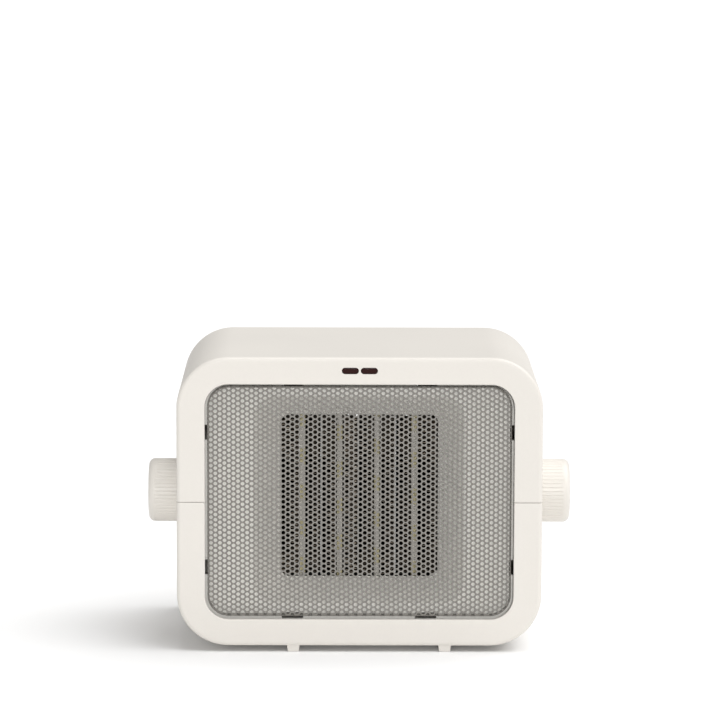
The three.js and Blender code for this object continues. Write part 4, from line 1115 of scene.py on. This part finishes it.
columns, rows = COVER_SLOT_COUNT
slot_start = [-(count - 1) / 2 * pitch for count, pitch in zip(COVER_SLOT_COUNT, COVER_SLOT_PITCH)]
slot_tool = repeated(
    "slot_tool", upright_slot(), (slot_start[0], 0, MIDDLE + slot_start[1]), (COVER_SLOT_PITCH[0], 0, 0),
    (0, 0, COVER_SLOT_PITCH[1]), columns, rows, casing_plastic,
)
cover_rounds = [
    (COVER_HALF[0] + inset, COVER_HALF[1] + inset, COVER_CORNER + inset, y)
    for inset, y in arc((-COVER_ROUND, COVER_SPAN[1] - COVER_ROUND), COVER_ROUND, 90, 0, 4)
]
cover_back = (*COVER_HALF, COVER_CORNER, COVER_SPAN[0])
cover = piece("rear_cover_panel", framed(cover_rounds + [cover_back], along=False))
gland_hole = placed(rod(GLAND_HOLE, *GLAND_CUT), "Y", (GLAND_PLACE[0], 0, GLAND_PLACE[1]))
combine(cover, [gland_hole], "DIFFERENCE")
combine(cover, slot_tool, "DIFFERENCE")
soften = cover.modifiers.new("Soften", "BEVEL")
soften.width = COVER_SLOT_ROUND * MM
soften.segments = 2
soften.limit_method = "ANGLE"
soften.angle_limit = math.radians(60)
settle(cover, soften, sharp=12)
painted(cover, casing_plastic)
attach(cover, "heater")
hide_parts("rear_cover")

# Casing screws: pan-head steel screws with a cross recess. Four hold the rear cover, and four come up
# through the floor to close the two casing halves.
SCREW_HEAD = (3.0, 2.2)
SCREW_SHAFT = 1.3
RECESS_WIDTH = 0.9
RECESS_REACH = 1.7
RECESS_DEPTH = 1.3
COVER_SCREW_Y = 71.8
COVER_SCREW_LENGTH = 13.6
SHELL_SCREW_Z = 85.7
SHELL_SCREW_LENGTH = 25.7


def screw(length, axis):
    """One screw along an axis, seated at zero, with its head beyond and its shank behind."""
    radius, height = SCREW_HEAD
    profile = [(0, -length), (SCREW_SHAFT * 0.6, -length), (SCREW_SHAFT, -length + 1.5), (SCREW_SHAFT, 0)]
    profile += [(radius, 0), (radius, height * 0.4)]
    for turn in (0.3, 0.6, 0.9, 1.2):
        profile.append((radius * math.cos(turn), height * (0.4 + 0.6 * math.sin(turn))))
    profile += [(0, height)]
    made = piece("screw", placed(turned(profile, 32), axis))
    deep = (height - RECESS_DEPTH, height + 1)
    long, thin = (-RECESS_REACH, RECESS_REACH), (-RECESS_WIDTH / 2, RECESS_WIDTH / 2)
    combine(made, [placed(block(long, thin, deep), axis)], "DIFFERENCE")
    return combine(made, [placed(block(thin, long, deep), axis)], "DIFFERENCE")


cover_screws = repeated(
    "cover_screws", screw(COVER_SCREW_LENGTH, "Y"),
    (-BOSS_PLACE[0], COVER_SCREW_Y, MIDDLE - BOSS_PLACE[1]), (2 * BOSS_PLACE[0], 0, 0),
    (0, 0, 2 * BOSS_PLACE[1]), rows=2, material=steel_finish,
)
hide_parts(*(f"cover_screw_{number}" for number in range(1, 5)))
shell_screws = repeated(
    "shell_screws", screw(SHELL_SCREW_LENGTH, "-Z"),
    (*POST_PLACES[0], SHELL_SCREW_Z), (POST_PLACES[1][0] - POST_PLACES[0][0], 0, 0),
    (0, POST_PLACES[2][1] - POST_PLACES[0][1], 0), rows=2, material=steel_finish,
)
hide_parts(*(f"shell_screw_{number}" for number in range(1, 5)))
for screws in (cover_screws, shell_screws):
    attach(screws, "heater")

# Mains inlet: a dark moulded gland pressed into the rear cover, where the cord would enter, and the terminal
# block that stands on the floor inside.
GLAND_RADII = (3.6, 6.1, 9.0)
GLAND_SPAN = (61.9, 71.8, 74.6)
GLAND_ROUNDS = (0.8, 1.2)
bore, barrel, flange = GLAND_RADII
inside, seat, outside = GLAND_SPAN
outer_round, bore_round = GLAND_ROUNDS
gland_profile = [(bore, inside), (barrel, inside), (barrel, seat), (flange, seat)]
gland_profile += arc((flange - outer_round, outside - outer_round), outer_round, 0, 90, 5)
gland_profile += arc((bore + bore_round, outside - bore_round), bore_round, 90, 180, 5)
gland = piece("cord_gland_ring", turned(gland_profile, ROD_STEPS), dark_finish)
gland.data.transform(Matrix.Rotation(-math.pi / 2, 4, "X"))
gland.data.transform(Matrix.Translation((GLAND_PLACE[0] * MM, 0, GLAND_PLACE[1] * MM)))
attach(gland, "heater")
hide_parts("cord_gland")
refined("terminal_block", nylon_finish, edge=0.3)

# Controls: a rotary switch on the left and a thermostat on the right. Each is held by a nut round its bush
# and turned by a flatted steel spindle that carries the knob.
for node, finish, body in (
    ("selector_switch", dark_finish, "heater"), ("thermostat_body", steel_finish, "heater"),
    ("selector_nut", steel_finish, "heater"), ("thermostat_nut", steel_finish, "heater"),
    ("selector_spindle", steel_finish, "selector"), ("thermostat_spindle", steel_finish, "thermostat"),
):
    refined(node, finish, body, edge=0.15)

# Tip-over switch: what the heater stands on holds a dark moulded plunger up against a steel spring, and the
# plunger's top works a small microswitch in its housing.
refined("tip_plunger", dark_finish, "tip_plunger", edge=0.35)
refined("tip_switch_housing", nylon_finish, edge=0.3)
refined("tip_microswitch", dark_finish)
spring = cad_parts["tip_spring"]
painted(spring, steel_finish)
